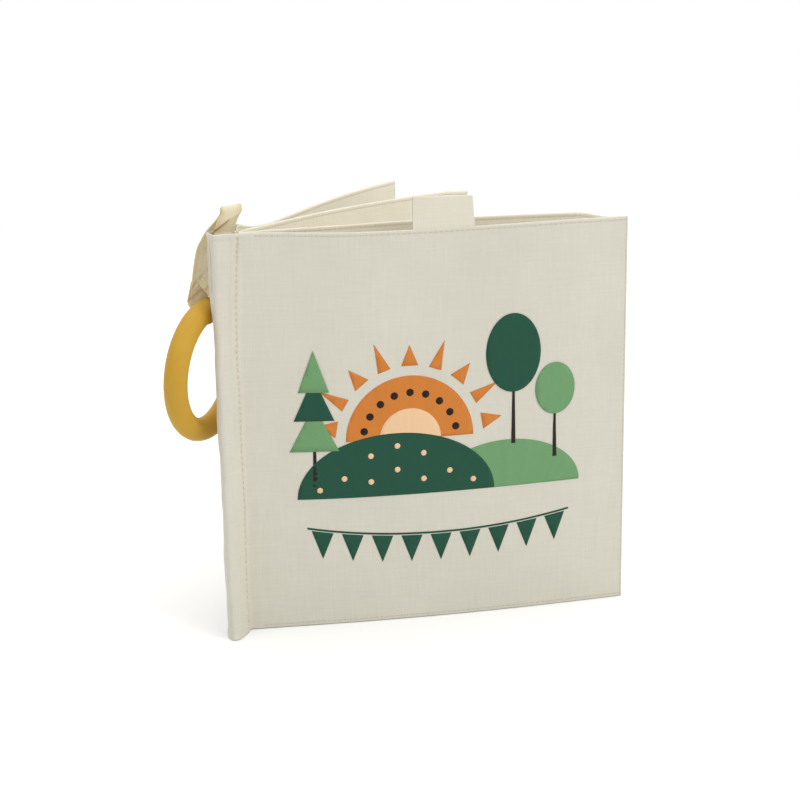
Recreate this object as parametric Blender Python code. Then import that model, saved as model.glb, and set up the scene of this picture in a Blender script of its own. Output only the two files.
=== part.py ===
"""Crinkle cloth book with a ring on a strap, standing open like a fan. Metres, +Z up.

The origin is at the foot of the binding, on the stitch line. +X runs along the front
cover to its fore edge, +Y points away from the front cover, towards the back cover.
"""

import math

import bmesh
import bpy
from mathutils import Vector

# Whole book
BOOK_NAME = "crinkle_cloth_book"
LEAF_HEIGHT = 0.180
LEAF_WIDTH = 0.177
GAP = 0.0003

# Cloth and what is quilted between two plies
CLOTH = 0.0005
FILM = 0.0002
LEAF_CROWN = 0.0020
FILLING_INSET_ALONG = 0.024
FILLING_INSET_UP = 0.014
LEAF_COLUMNS = 18
LEAF_ROWS = 10
FILLING_COLUMNS = 10
FILLING_ROWS = 6
EDGE_POWER = 8

# Binding: the leaves' folds stand in a row behind the stitch line
FOLD_OFFSET = 0.0016
LEAF_PITCH = 0.0018
FOLD_LAP = 0.0003
MARGIN_WIDTH = 0.0042
MARGIN_RECESS = 0.0020

# Leaves from front to back: how far each opens, bows behind its chord (in shares of its
# width), sinks along its top, droops at its corner and lifts off the table at its fore
# edge (in shares of its height)
LEAVES = ("front_cover", "page_1", "page_2", "back_cover")
LEAF_ANGLE = {"front_cover": 0.0, "page_1": 4.8, "page_2": 40.5, "back_cover": 53.7}
BOW_SHARES = {"front_cover": -0.0227, "page_1": 0.0568, "page_2": 0.0511, "back_cover": 0.0452}
SAG_SHARES = {"front_cover": 0.0083, "page_1": 0.0028, "page_2": 0.0, "back_cover": 0.0167}
DROOP_SHARES = {"front_cover": 0.0, "page_1": 0.0139, "page_2": 0.0056, "back_cover": 0.0}
LIFT_SHARES = {"front_cover": 0.0, "page_1": 0.0, "page_2": 0.0, "back_cover": 0.0111}
SAG_PLACE_SHARE = 0.30
DROOP_START_SHARE = 0.90
FRONT_PLY = {"front_cover": "face", "page_1": "front", "page_2": "front", "back_cover": "lining"}
BACK_PLY = {"front_cover": "lining", "page_1": "back", "page_2": "back", "back_cover": "face"}

# Spine: a sleeve of the cover cloth, open at both ends
SPINE_DEPTH = 0.0115
SPINE_CLOTH = 0.0005
SPINE_BACK_END = -0.0006
SPINE_COLUMNS = 22
SPINE_ROWS = 20
SPINE_FOOT_SHARE = 0.80
SPINE_BODY_SHARE = 0.70
SPINE_TOP_SHARE = 0.93
SPINE_FOOT_POWER = 1.3
# Plan of the sleeve between its two sewn ends, in shares of the spine's depth
FOOT_PLAN_SHARES = ((-0.32, -0.61), (-0.56, -0.98), (-0.78, -1.06), (-0.86, -0.40), (-0.60, 0.69))
BODY_PLAN_SHARES = ((-0.44, -0.20), (-0.84, -0.30), (-0.98, -0.13), (-0.93, 0.24), (-0.54, 0.69))
TOP_PLAN_SHARES = ((-0.44, -0.17), (-0.82, -0.25), (-0.98, -0.08), (-1.04, 0.46), (-0.56, 0.69))

# Ring
RING_OUTER_RADIUS = 0.0325
RING_TUBE_RADIUS = 0.0052
RING_LEFT = 0.0127
RING_BEHIND = 0.0159
RING_DROP = 0.0623
RING_TURN = 52.4
RING_LEAN = 4.8
RING_SEGMENTS = 40
RING_SIDES = 16

# Strap: a cotton tape folded in two, with both ends sewn into the spine
TAPE_WIDTH = 0.0090
TAPE_PLY = 0.0005
TAB_TUCK = 0.0120
TAB_SWAY = 0.0004
FOLD_RISE = 0.0082
FOLD_RADIUS = 0.0021
FOLD_X = -0.0009
BAND_TURN_SHARE = 0.74
TAB_COLUMNS = 30
BAND_COLUMNS = 18
TAPE_ROWS = 4
LOOP_SLACK = 0.0003
LOOP_WIDTH = 0.0080
LOOP_NECK_RISE = 0.0060
LOOP_LEAN = 22
LOOP_ARC_STEPS = 26

# Label: a tape folded in two, sewn into the front cover's top edge
LABEL_WIDTH = 0.0280
LABEL_HEIGHT = 0.0130
LABEL_START = 0.0765
LABEL_PLY = 0.0003
LABEL_FOLD_RADIUS = 0.0003
LABEL_LIFT = 0.0006
LABEL_COLUMNS = 6
LABEL_FOLD_STEPS = 6

# Colours, roughness
COVER_COLOUR = (0.68, 0.65, 0.58)
PAGE_COLOUR = (0.76, 0.71, 0.60)
STRAP_COLOUR = (0.58, 0.50, 0.38)
LABEL_COLOUR = (0.75, 0.71, 0.59)
RING_COLOUR = (0.60, 0.33, 0.07)
FILM_COLOUR = (0.86, 0.87, 0.88)
WADDING_COLOUR = (0.90, 0.90, 0.88)
CLOTH_ROUGHNESS = 0.90
RING_ROUGHNESS = 0.42
FILM_ROUGHNESS = 0.25

HALF_SHARE = 0.5

# Sizes that follow from the ones above
PLY_OFFSET = (GAP + CLOTH) / 2
FOLD_CLEAR = math.hypot(PLY_OFFSET + CLOTH / 2, FOLD_LAP) + GAP
MARGIN_THICKNESS = LEAF_PITCH - GAP
LEAF_LENGTH = LEAF_WIDTH - FOLD_OFFSET
TAPE_THICKNESS = 2 * TAPE_PLY
TAB_ROOM = TAPE_THICKNESS + GAP
MARGIN_Y = (0, LEAF_PITCH, 2 * LEAF_PITCH, 3 * LEAF_PITCH + TAB_ROOM)
SLEEVE_CLEAR = MARGIN_THICKNESS / 2 + GAP + SPINE_CLOTH / 2
TAB_Y = MARGIN_Y[2] + MARGIN_THICKNESS / 2 + GAP + TAPE_THICKNESS / 2
BAND_Y = TAB_Y + 2 * FOLD_RADIUS
TAB_FOOT_HEIGHT = LEAF_HEIGHT - TAB_TUCK
FOLD_HEIGHT = LEAF_HEIGHT + FOLD_RISE
RING_CENTRE = Vector((-RING_LEFT, RING_BEHIND, LEAF_HEIGHT - RING_DROP))
RING_RADIUS = RING_OUTER_RADIUS - RING_TUBE_RADIUS
RING_ALONG = Vector((math.cos(math.radians(RING_TURN)), math.sin(math.radians(RING_TURN)), 0))
RING_AXIS = Vector((RING_ALONG.y, -RING_ALONG.x, 0))
RING_UP = Vector((0, 0, 1)) * math.cos(math.radians(RING_LEAN))
RING_UP += RING_AXIS * math.sin(math.radians(RING_LEAN))
RING_TOP = RING_CENTRE + RING_UP * RING_RADIUS
LOOP_DROP = RING_RADIUS - math.sqrt(RING_RADIUS**2 - (LOOP_WIDTH / 2) ** 2)
LOOP_INNER_RADIUS = RING_TUBE_RADIUS + LOOP_SLACK + LOOP_DROP
LOOP_UP = Vector((0, 0, 1)) * math.cos(math.radians(LOOP_LEAN))
LOOP_UP -= RING_AXIS * math.sin(math.radians(LOOP_LEAN))
LOOP_LENGTH = RING_TUBE_RADIUS + LOOP_NECK_RISE
LOOP_NECK = RING_TOP + LOOP_UP * LOOP_LENGTH
STRAP_HINGE = Vector((FOLD_X, BAND_Y + TAPE_THICKNESS / 2, FOLD_HEIGHT - GAP / 2))
RING_HINGE = LOOP_NECK + Vector((0, 0, GAP / 2))


def fold_places():
    """Each leaf's fold, on a curve that keeps the pitch square to the opened leaves."""
    places = [Vector((FOLD_OFFSET, 0, 0))]
    for near, far in zip(LEAVES, LEAVES[1:]):
        square = math.pi / 2 + math.radians(LEAF_ANGLE[near] + LEAF_ANGLE[far]) / 2
        step = Vector((math.cos(square), math.sin(square), 0)) * LEAF_PITCH
        places.append(places[-1] + step)
    return places


FOLDS = fold_places()
# A margin stops short of its own leaf's fold and of the next one's
MARGIN_END = [min(a.x, b.x) - FOLD_CLEAR for a, b in zip(FOLDS, FOLDS[1:] + FOLDS[-1:])]
TAB_FOOT_X = MARGIN_END[-1] - TAPE_WIDTH / 2
TAB_BEND_HEIGHT = LEAF_HEIGHT + GAP


def material(name, colour, roughness):
    """A plain Principled material."""
    made = bpy.data.materials.new(name)
    made.use_nodes = True
    shader = made.node_tree.nodes["Principled BSDF"]
    shader.inputs["Base Color"].default_value = (*colour, 1)
    shader.inputs["Roughness"].default_value = roughness
    shader.inputs["Metallic"].default_value = 0
    made.diffuse_color = (*colour, 1)
    return made


def pivot(name, collection, place, parent=None):
    """An empty on a joint's axis, which carries the pieces of one moving body."""
    empty = bpy.data.objects.new(name, None)
    empty.empty_display_size = LEAF_PITCH
    collection.objects.link(empty)
    empty.parent = parent
    empty.location = place
    return empty


def add_piece(name, mesh, collection, parent, finish):
    """One named sub-part with a material of its own."""
    piece = bpy.data.objects.new(name, mesh)
    collection.objects.link(piece)
    piece.parent = parent
    mesh.materials.append(material(name, *finish))
    return piece


def smooth(share):
    """Ease from 0 to 1."""
    share = min(max(share, 0), 1)
    return share * share * (3 - 2 * share)


def slab(name, columns, rows, place):
    """A grid extruded to a second side; place(across, up, side) puts every corner."""
    bm = bmesh.new()
    bmesh.ops.create_grid(bm, x_segments=columns, y_segments=rows, size=HALF_SHARE)
    near = list(bm.verts)
    shares = {v: (v.co.x + HALF_SHARE, v.co.y + HALF_SHARE) for v in near}
    made = bmesh.ops.extrude_face_region(bm, geom=list(bm.faces), use_keep_orig=True)
    far = [v for v in made["geom"] if isinstance(v, bmesh.types.BMVert)]
    for vert in far:
        shares[vert] = (vert.co.x + HALF_SHARE, vert.co.y + HALF_SHARE)
    sides = {vert: 0 for vert in near}
    sides.update({vert: 1 for vert in far})
    for vert, side in sides.items():
        across, up = shares[vert]
        vert.co = place(across, up, side)
    bmesh.ops.recalc_face_normals(bm, faces=bm.faces)
    if bm.calc_volume(signed=True) < 0:
        bmesh.ops.reverse_faces(bm, faces=bm.faces)
    for face in bm.faces:
        face.smooth = True
    mesh = bpy.data.meshes.new(name)
    bm.to_mesh(mesh)
    bm.free()
    return mesh


def leaf_pad(along, up):
    """How far the filling lifts each ply: a crown that dies away at the four edges."""
    rise = 1 - abs(2 * up - 1) ** EDGE_POWER
    return LEAF_CROWN * math.sin(math.pi * min(max(along, 0), 1)) * rise


def leaf_top(leaf, along):
    """The leaf's height there: it sinks a little along the top and droops at the corner."""
    near = along < SAG_PLACE_SHARE
    sag_at = along / SAG_PLACE_SHARE if near else (1 - along) / (1 - SAG_PLACE_SHARE)
    droop = smooth((along - DROOP_START_SHARE) / (1 - DROOP_START_SHARE))
    sunk = SAG_SHARES[leaf] * smooth(sag_at) + DROOP_SHARES[leaf] * droop
    return LEAF_HEIGHT * (1 - sunk)


def leaf_point(leaf, along, up, offset):
    """A point of the leaf in its own frame: X along it, Y behind it, Z up."""
    bow = LEAF_WIDTH * BOW_SHARES[leaf] * math.sin(math.pi * along)
    lift = LEAF_HEIGHT * LIFT_SHARES[leaf] * along
    return Vector((along * LEAF_LENGTH, bow + offset, up * leaf_top(leaf, along) + lift))


def ply_mesh(leaf, name, side_sign):
    """One cotton ply of a leaf, from the fold to the fore edge."""
    lap = FOLD_LAP / LEAF_LENGTH

    def place(across, up, side):
        along = -lap + across * (1 + lap)
        lift = PLY_OFFSET + leaf_pad(along, up) + (side - 1 / 2) * CLOTH
        return leaf_point(leaf, along, up, side_sign * lift)

    return slab(name, LEAF_COLUMNS, LEAF_ROWS, place)


def filling_mesh(leaf, name, low, high):
    """A layer between the plies; low and high give its two faces for a lift of the pad."""
    start = FILLING_INSET_ALONG / LEAF_LENGTH
    foot = FILLING_INSET_UP / LEAF_HEIGHT

    def place(across, up, side):
        along = start + across * (1 - 2 * start)
        rise = foot + up * (1 - 2 * foot)
        pad = leaf_pad(along, rise)
        return leaf_point(leaf, along, rise, high(pad) if side else low(pad))

    return slab(name, FILLING_COLUMNS, FILLING_ROWS, place)


def add_leaf(leaf, collection, parent):
    """A quilted leaf: crinkle film and wadding sewn between two cotton plies."""
    film_front = GAP + CLOTH + GAP / 2
    film_back = film_front + FILM
    wadding_front = film_back + GAP
    wadding_back = GAP / 2
    colour = COVER_COLOUR if leaf.endswith("cover") else PAGE_COLOUR
    meshes = {
        FRONT_PLY[leaf]: ply_mesh(leaf, leaf, -1),
        BACK_PLY[leaf]: ply_mesh(leaf, leaf, 1),
        "film": filling_mesh(
            leaf,
            leaf,
            lambda pad: film_front - PLY_OFFSET - CLOTH / 2 - pad,
            lambda pad: film_back - PLY_OFFSET - CLOTH / 2 - pad,
        ),
        "wadding": filling_mesh(
            leaf,
            leaf,
            lambda pad: wadding_front - PLY_OFFSET - CLOTH / 2 - pad,
            lambda pad: pad - wadding_back,
        ),
    }
    finishes = {
        "film": (FILM_COLOUR, FILM_ROUGHNESS),
        "wadding": (WADDING_COLOUR, CLOTH_ROUGHNESS),
    }
    for layer, mesh in meshes.items():
        finish = finishes.get(layer, (colour, CLOTH_ROUGHNESS))
        piece = add_piece(f"{leaf}_{layer}", mesh, collection, parent, finish)
        piece.rotation_euler.z = math.radians(LEAF_ANGLE[leaf])


def add_margin(leaf, row, collection, parent):
    """The leaf's seam allowance, held in the binding by the stitch line."""
    bm = bmesh.new()
    bmesh.ops.create_cube(bm, size=1)
    size = Vector((MARGIN_WIDTH, MARGIN_THICKNESS, LEAF_HEIGHT - MARGIN_RECESS))
    centre = Vector((MARGIN_END[row] - size.x / 2, MARGIN_Y[row], size.z / 2))
    for vert in bm.verts:
        vert.co = Vector(c * s for c, s in zip(vert.co, size)) + centre
    mesh = bpy.data.meshes.new(leaf)
    bm.to_mesh(mesh)
    bm.free()
    colour = COVER_COLOUR if leaf.endswith("cover") else PAGE_COLOUR
    add_piece(f"{leaf}_margin", mesh, collection, parent, (colour, CLOTH_ROUGHNESS))


def spline(points, share):
    """A point on the smooth curve through the points, share running from 0 to 1."""
    spans = len(points) - 1
    at = min(max(share, 0), 1) * spans
    start = min(int(at), spans - 1)
    t = at - start
    before = points[start - 1] if start else 2 * points[0] - points[1]
    after = points[start + 2] if start + 2 <= spans else 2 * points[-1] - points[-2]
    a, b = points[start], points[start + 1]
    bend = (before, a, b, after)
    weights = (
        (-t + 2 * t**2 - t**3) / 2,
        (2 - 5 * t**2 + 3 * t**3) / 2,
        (t + 4 * t**2 - 3 * t**3) / 2,
        (t**3 - t**2) / 2,
    )
    return sum((p * w for p, w in zip(bend, weights)), Vector((0, 0)))


def sleeve_plan(up):
    """The sleeve's seven plan points at this share of its height."""
    foot = max(0, 1 - up / SPINE_FOOT_SHARE) ** SPINE_FOOT_POWER
    top = smooth((up - SPINE_BODY_SHARE) / (SPINE_TOP_SHARE - SPINE_BODY_SHARE))
    body = 1 - foot - top
    middle = [
        (Vector(f) * foot + Vector(b) * body + Vector(t) * top) * SPINE_DEPTH
        for f, b, t in zip(FOOT_PLAN_SHARES, BODY_PLAN_SHARES, TOP_PLAN_SHARES)
    ]
    front = Vector((MARGIN_END[0] - GAP, -SLEEVE_CLEAR))
    back = Vector((SPINE_BACK_END, MARGIN_Y[-1] + SLEEVE_CLEAR))
    return [front, *middle, back]


def add_sleeve(collection, parent):
    """The spine: cover cloth wrapped round the binding, bent forward at its foot."""

    def place(across, up, side):
        plan = sleeve_plan(up)
        step = HALF_SHARE / SPINE_COLUMNS
        ahead = spline(plan, across + step) - spline(plan, across - step)
        outward = Vector((-ahead.y, ahead.x)).normalized() * -1
        at = spline(plan, across) + outward * (side - 1 / 2) * SPINE_CLOTH
        return Vector((at.x, at.y, up * LEAF_HEIGHT))

    mesh = slab("spine_sleeve", SPINE_COLUMNS, SPINE_ROWS, place)
    finish = (COVER_COLOUR, CLOTH_ROUGHNESS)
    add_piece("spine_sleeve", mesh, collection, parent, finish)


def ribbon(name, columns, centre, width):
    """A tape along centre(share), its width level and along X as far as its way allows."""
    level = Vector((1, 0, 0))

    def place(across, up, side):
        step = HALF_SHARE / columns
        ahead = centre(across + step) - centre(across - step)
        normal = ahead.cross(level).normalized()
        wide = normal.cross(ahead).normalized()
        over = normal * (side - 1 / 2) * TAPE_THICKNESS
        return centre(across) + wide * (up - 1 / 2) * width + over

    return slab(name, columns, TAPE_ROWS, place)


def tab_centre(share):
    """Up out of the spine, leaning towards the pages, then over in a half turn."""
    run = FOLD_HEIGHT - TAB_FOOT_HEIGHT
    turn = math.pi * FOLD_RADIUS
    length = share * (run + turn)
    height = TAB_FOOT_HEIGHT + min(length, run)
    free_share = (height - TAB_BEND_HEIGHT) / (FOLD_HEIGHT - TAB_BEND_HEIGHT)
    x = TAB_FOOT_X + (FOLD_X - TAB_FOOT_X) * smooth(free_share)
    if length <= run:
        sway = TAB_SWAY * math.sin(math.pi * max(free_share, 0))
        return Vector((x, TAB_Y - sway, height))
    angle = (length - run) / FOLD_RADIUS
    back = TAB_Y + FOLD_RADIUS * (1 - math.cos(angle))
    return Vector((x, back, FOLD_HEIGHT + FOLD_RADIUS * math.sin(angle)))


def band_centre(share):
    """Down from the fold, over the spine's corner and on to the ring's loop."""
    start = Vector((FOLD_X, BAND_Y, FOLD_HEIGHT - GAP))
    end = LOOP_NECK + Vector((0, 0, GAP))
    at = start.lerp(end, share)
    sideways = smooth(share / BAND_TURN_SHARE)
    at.x = start.x + (end.x - start.x) * sideways
    return at


def loop_outline(radius, neck):
    """A teardrop round the ring's tube: an arc and two straight runs to the neck."""
    lean = math.acos(min(radius / neck, 1))
    sweep = 2 * math.pi - 2 * lean
    angles = [lean + sweep * i / LOOP_ARC_STEPS for i in range(LOOP_ARC_STEPS + 1)]
    return [(0, neck)] + [(radius * math.sin(a), radius * math.cos(a)) for a in angles]


def add_loop(collection, parent):
    """The end of the folded tape, which the ring hangs in."""
    curve = bpy.data.curves.new("strap_loop", "CURVE")
    curve.dimensions = "2D"
    curve.fill_mode = "BOTH"
    curve.extrude = LOOP_WIDTH / 2
    neck = LOOP_LENGTH
    inner = LOOP_INNER_RADIUS
    outer = inner + TAPE_PLY
    for points in (loop_outline(outer, neck), loop_outline(inner, neck * inner / outer - GAP)):
        path = curve.splines.new("POLY")
        path.points.add(len(points) - 1)
        path.use_cyclic_u = True
        for point, (x, y) in zip(path.points, points):
            point.co = (x, y, 0, 1)
    piece = add_piece("strap_loop", curve, collection, parent, (STRAP_COLOUR, CLOTH_ROUGHNESS))
    piece.location = RING_TOP - RING_HINGE
    turn = math.radians(RING_TURN) - math.pi / 2
    piece.rotation_euler = (math.pi / 2, -math.radians(LOOP_LEAN), turn)


def add_ring(collection, parent):
    """The round ring, which swings and turns in the loop."""
    bpy.ops.mesh.primitive_torus_add(
        major_radius=RING_RADIUS,
        minor_radius=RING_TUBE_RADIUS,
        major_segments=RING_SEGMENTS,
        minor_segments=RING_SIDES,
    )
    ring = bpy.context.object
    for owner in list(ring.users_collection):
        owner.objects.unlink(ring)
    collection.objects.link(ring)
    ring.name = "teether_ring"
    ring.data.materials.append(material("teether_ring", RING_COLOUR, RING_ROUGHNESS))
    ring.data.shade_smooth()
    ring.parent = parent
    ring.rotation_euler = (math.pi / 2 + math.radians(RING_LEAN), 0, math.radians(RING_TURN))


def add_label(collection, parent):
    """A tape folded in two, both ends in the cover's top edge."""
    leaf = "front_cover"
    run = LABEL_HEIGHT - LABEL_FOLD_RADIUS
    turn = math.pi * LABEL_FOLD_RADIUS
    total = 2 * run + turn
    steps = 2 * LABEL_FOLD_STEPS

    def section(share, side):
        length = share * total
        reach = LABEL_FOLD_RADIUS + (side - 1 / 2) * LABEL_PLY
        if length < run:
            return -reach, length
        if length > run + turn:
            return reach, total - length
        angle = (length - run) / LABEL_FOLD_RADIUS
        return -reach * math.cos(angle), run + reach * math.sin(angle)

    def place(across, up, side):
        along = (LABEL_START - FOLD_OFFSET + across * LABEL_WIDTH) / LEAF_LENGTH
        behind, rise = section(up, side)
        at = leaf_point(leaf, along, 1, behind)
        return at + Vector((0, 0, LABEL_LIFT + rise)) - label_hinge()

    mesh = slab("care_label", LABEL_COLUMNS, steps, place)
    piece = add_piece("care_label", mesh, collection, parent, (LABEL_COLOUR, CLOTH_ROUGHNESS))
    piece.rotation_euler.z = math.radians(LEAF_ANGLE[leaf])


def label_hinge():
    """The middle of the label's foot, in the front cover's frame."""
    along = (LABEL_START + LABEL_WIDTH / 2 - FOLD_OFFSET) / LEAF_LENGTH
    return leaf_point("front_cover", along, 1, 0) + Vector((0, 0, LABEL_LIFT))


def build():
    """Every piece, in the order in which the book is sewn together."""
    for old in list(bpy.data.objects):
        bpy.data.objects.remove(old, do_unlink=True)
    book = bpy.data.collections.new(BOOK_NAME)
    bpy.context.scene.collection.children.link(book)

    spine = pivot("spine_pivot", book, Vector((0, 0, 0)))
    add_sleeve(book, spine)
    pivots = {}
    for row, leaf in enumerate(LEAVES):
        add_margin(leaf, row, book, spine)
        chained = row > 1
        parent = pivots[LEAVES[row - 1]] if chained else spine
        place = FOLDS[row] - FOLDS[row - 1] if chained else FOLDS[row]
        pivots[leaf] = pivot(f"{leaf}_pivot", book, place, parent)
        add_leaf(leaf, book, pivots[leaf])

    label = pivot("care_label_pivot", book, label_hinge(), pivots["front_cover"])
    add_label(book, label)

    tape = (STRAP_COLOUR, CLOTH_ROUGHNESS)
    tab = ribbon("strap_tab", TAB_COLUMNS, tab_centre, TAPE_WIDTH)
    add_piece("strap_tab", tab, book, spine, tape)
    strap = pivot("strap_pivot", book, STRAP_HINGE, spine)
    band = ribbon("strap_band", BAND_COLUMNS, band_centre, TAPE_WIDTH)
    add_piece("strap_band", band, book, strap, tape).location = -STRAP_HINGE
    loop = pivot("strap_loop_pivot", book, RING_HINGE - STRAP_HINGE, strap)
    add_loop(book, loop)
    ring = pivot("teether_ring_pivot", book, RING_CENTRE - RING_HINGE, loop)
    add_ring(book, ring)


build()
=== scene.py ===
# %% [markdown]
# A crinkle cloth book, dressed over its measured frame
#
# The book stands open like a fan: four quilted leaves are sewn into a spine sleeve, and a
# ring hangs from a folded tape. The measured frame gives every piece its place in metres.
# This lesson builds what the eye sees: cloth with its seams, thread, tape, print and ring.

import math

import bpy
import numpy as np
from mathutils import Matrix, Vector


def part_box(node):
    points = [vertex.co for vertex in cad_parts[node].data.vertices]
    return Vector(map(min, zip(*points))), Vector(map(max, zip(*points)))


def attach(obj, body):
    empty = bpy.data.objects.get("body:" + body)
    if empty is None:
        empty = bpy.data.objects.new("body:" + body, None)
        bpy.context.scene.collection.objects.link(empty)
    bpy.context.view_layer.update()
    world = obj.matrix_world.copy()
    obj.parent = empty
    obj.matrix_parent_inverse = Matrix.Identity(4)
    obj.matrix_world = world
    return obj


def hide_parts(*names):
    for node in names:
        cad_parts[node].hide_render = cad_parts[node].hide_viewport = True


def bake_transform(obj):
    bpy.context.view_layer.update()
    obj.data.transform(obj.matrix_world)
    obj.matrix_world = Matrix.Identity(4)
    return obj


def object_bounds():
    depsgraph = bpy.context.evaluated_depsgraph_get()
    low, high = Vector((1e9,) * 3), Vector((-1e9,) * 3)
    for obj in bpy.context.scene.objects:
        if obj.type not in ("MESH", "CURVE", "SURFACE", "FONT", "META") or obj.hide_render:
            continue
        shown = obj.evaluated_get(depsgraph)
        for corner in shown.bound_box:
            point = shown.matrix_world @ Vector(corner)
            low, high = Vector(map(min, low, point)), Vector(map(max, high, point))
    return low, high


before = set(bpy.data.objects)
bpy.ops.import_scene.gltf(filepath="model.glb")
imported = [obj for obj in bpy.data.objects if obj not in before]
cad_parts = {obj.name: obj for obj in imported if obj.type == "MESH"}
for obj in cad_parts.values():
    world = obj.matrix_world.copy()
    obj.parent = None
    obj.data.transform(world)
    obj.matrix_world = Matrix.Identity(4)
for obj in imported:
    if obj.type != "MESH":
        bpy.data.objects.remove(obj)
cad_low, cad_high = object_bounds()
MM = 0.001
print("frame size in mm:", [round(c / MM, 1) for c in cad_high - cad_low])

# %% [markdown]
# The camera comes first, so that every later piece can be judged in the picture's frame.
# A long lens from about 80 cm away keeps the cover nearly square. The numbers are the
# camera's place, how far it looks down, how far it turns to the right, and its small roll.

# %% The camera
PICTURE_WIDTH = 800
LENS_IN_PIXELS = 1861
SENSOR_WIDTH = 36
CAMERA_PLACE = Vector((-112.5, -787.0, 296.6)) * MM
LOOK_DOWN = math.radians(13.56)
LOOK_RIGHT = math.radians(13.12)
ROLL = math.radians(0.6045)

level_ahead = Vector((math.sin(LOOK_RIGHT), math.cos(LOOK_RIGHT), 0))
ahead = level_ahead * math.cos(LOOK_DOWN) - Vector((0, 0, math.sin(LOOK_DOWN)))
level_right = Vector((math.cos(LOOK_RIGHT), -math.sin(LOOK_RIGHT), 0))
level_up = level_right.cross(ahead)
right = level_right * math.cos(ROLL) - level_up * math.sin(ROLL)
up = level_up * math.cos(ROLL) + level_right * math.sin(ROLL)
camera_data = bpy.data.cameras.new("picture_camera")
camera_data.sensor_width = SENSOR_WIDTH
camera_data.lens = SENSOR_WIDTH * LENS_IN_PIXELS / PICTURE_WIDTH
camera_data.clip_end = 20
camera = bpy.data.objects.new("picture_camera", camera_data)
bpy.context.scene.collection.objects.link(camera)
turn = Matrix((right, up, -ahead)).transposed()
camera.matrix_world = Matrix.Translation(CAMERA_PLACE) @ turn.to_4x4()
bpy.context.scene.camera = camera
print("lens in mm:", round(camera_data.lens, 1))

# %% [markdown]
# Small helpers follow. Operators act on whatever is selected, and the frame arrives
# selected, so `start_clean` deselects first. Points are read and written as arrays,
# which keeps thousands of cloth points quick to place.


# %% Helpers for pieces
def start_clean():
    """Nothing selected, object mode."""
    if bpy.context.object and bpy.context.object.mode != "OBJECT":
        bpy.ops.object.mode_set(mode="OBJECT")
    bpy.ops.object.select_all(action="DESELECT")


def pick(piece):
    """Only this piece is selected and active."""
    start_clean()
    piece.select_set(True)
    bpy.context.view_layer.objects.active = piece


def new_piece(name):
    """Name the primitive just added, and put its place, turn and size into its mesh."""
    made = bpy.context.object
    made.name = name
    pick(made)
    bpy.ops.object.transform_apply(location=True, rotation=True, scale=True)
    return made


def read_points(piece):
    """Every point of the piece's mesh as an array of rows."""
    flat = np.empty(len(piece.data.vertices) * 3)
    piece.data.vertices.foreach_get("co", flat)
    return flat.reshape(-1, 3)


def write_points(piece, points):
    """Put the points back."""
    piece.data.vertices.foreach_set("co", np.asarray(points, float).ravel())
    piece.data.update()


def write_uv(piece, flat):
    """Each point's place on the flat cloth, in metres, goes into the UV map."""
    corners = np.empty(len(piece.data.loops), int)
    piece.data.loops.foreach_get("vertex_index", corners)
    maps = piece.data.uv_layers
    layer = maps[0] if maps else maps.new(name="UVMap")
    layer.name = "UVMap"
    layer.data.foreach_set("uv", flat[corners].ravel())


def cut_piece(piece, cuts):
    """Cut the mesh square to an axis; cuts gives each axis and the places on it."""
    pick(piece)
    bpy.ops.object.mode_set(mode="EDIT")
    for axis, places in cuts:
        normal = [float(other == axis) for other in range(3)]
        for place in places:
            bpy.ops.mesh.select_all(action="SELECT")
            bpy.ops.mesh.bisect(plane_co=[n * place for n in normal], plane_no=normal)
    bpy.ops.object.mode_set(mode="OBJECT")


def face_outwards(piece):
    """All faces point out of the closed piece."""
    pick(piece)
    bpy.ops.object.mode_set(mode="EDIT")
    bpy.ops.mesh.select_all(action="SELECT")
    bpy.ops.mesh.normals_make_consistent(inside=False)
    bpy.ops.object.mode_set(mode="OBJECT")


def finish_faces(piece, sharp=50):
    """Faces point outwards and are shaded smooth, but not over edges sharper than this."""
    face_outwards(piece)
    bpy.ops.object.shade_smooth_by_angle(angle=math.radians(sharp))


def apply_modifier(piece, kind, **values):
    """Add one modifier, set it and apply it."""
    pick(piece)
    modifier = piece.modifiers.new(kind.title(), kind)
    for name, value in values.items():
        setattr(modifier, name, value)
    bpy.ops.object.modifier_apply(modifier=modifier.name)


def dress(piece, body, material, replaces=(), bends_to=None):
    """Material, body and replaced nodes; if bends_to is given, the piece's place is only baked into its
    mesh, and the body and bends_to's second body, start and end are not used.
    """
    piece.data.materials.clear()
    piece.data.materials.append(material)
    if bends_to:
        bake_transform(piece)
    else:
        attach(piece, body)
    if replaces:
        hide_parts(*replaces)


def eased(share):
    """Ease from 0 to 1."""
    share = np.clip(share, 0, 1)
    return share * share * (3 - 2 * share)


def bell(distance, width):
    """1 at no distance, fading to nothing over a few widths."""
    return np.exp(-((distance / width) ** 2))


def rounded(share, least):
    """The height of a round edge, from near 0 at its rim to 1 where it is over."""
    return np.sqrt(np.clip(1 - (1 - np.clip(share, 0, 1)) ** 2, least, 1))


print("helpers ready")

# %% [markdown]
# Materials are trees of nodes, and these helpers add one node, or one common step, in a
# line each: a sum, a range, a noise, a bump, or a colour laid over what is already there.


# %% Node helpers
def add_node(tree, kind, **values):
    """A node; a value named after a socket feeds it, one that starts with 'set_' is a setting."""
    made = tree.nodes.new(kind)
    for name, value in values.items():
        if name.startswith("set_"):
            setattr(made, name[4:], value)
            continue
        key = int(name[1:]) if name[0] == "i" and name[1:].isdigit() else name.replace("_", " ")
        if isinstance(value, bpy.types.NodeSocket):
            tree.links.new(value, made.inputs[key])
        else:
            made.inputs[key].default_value = value
    return made


def feed(shader, **values):
    """Set or link the shader's sockets by name."""
    for name, value in values.items():
        socket = shader.inputs[name.replace("_", " ")]
        if isinstance(value, bpy.types.NodeSocket):
            shader.id_data.links.new(value, socket)
        else:
            socket.default_value = value


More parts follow.
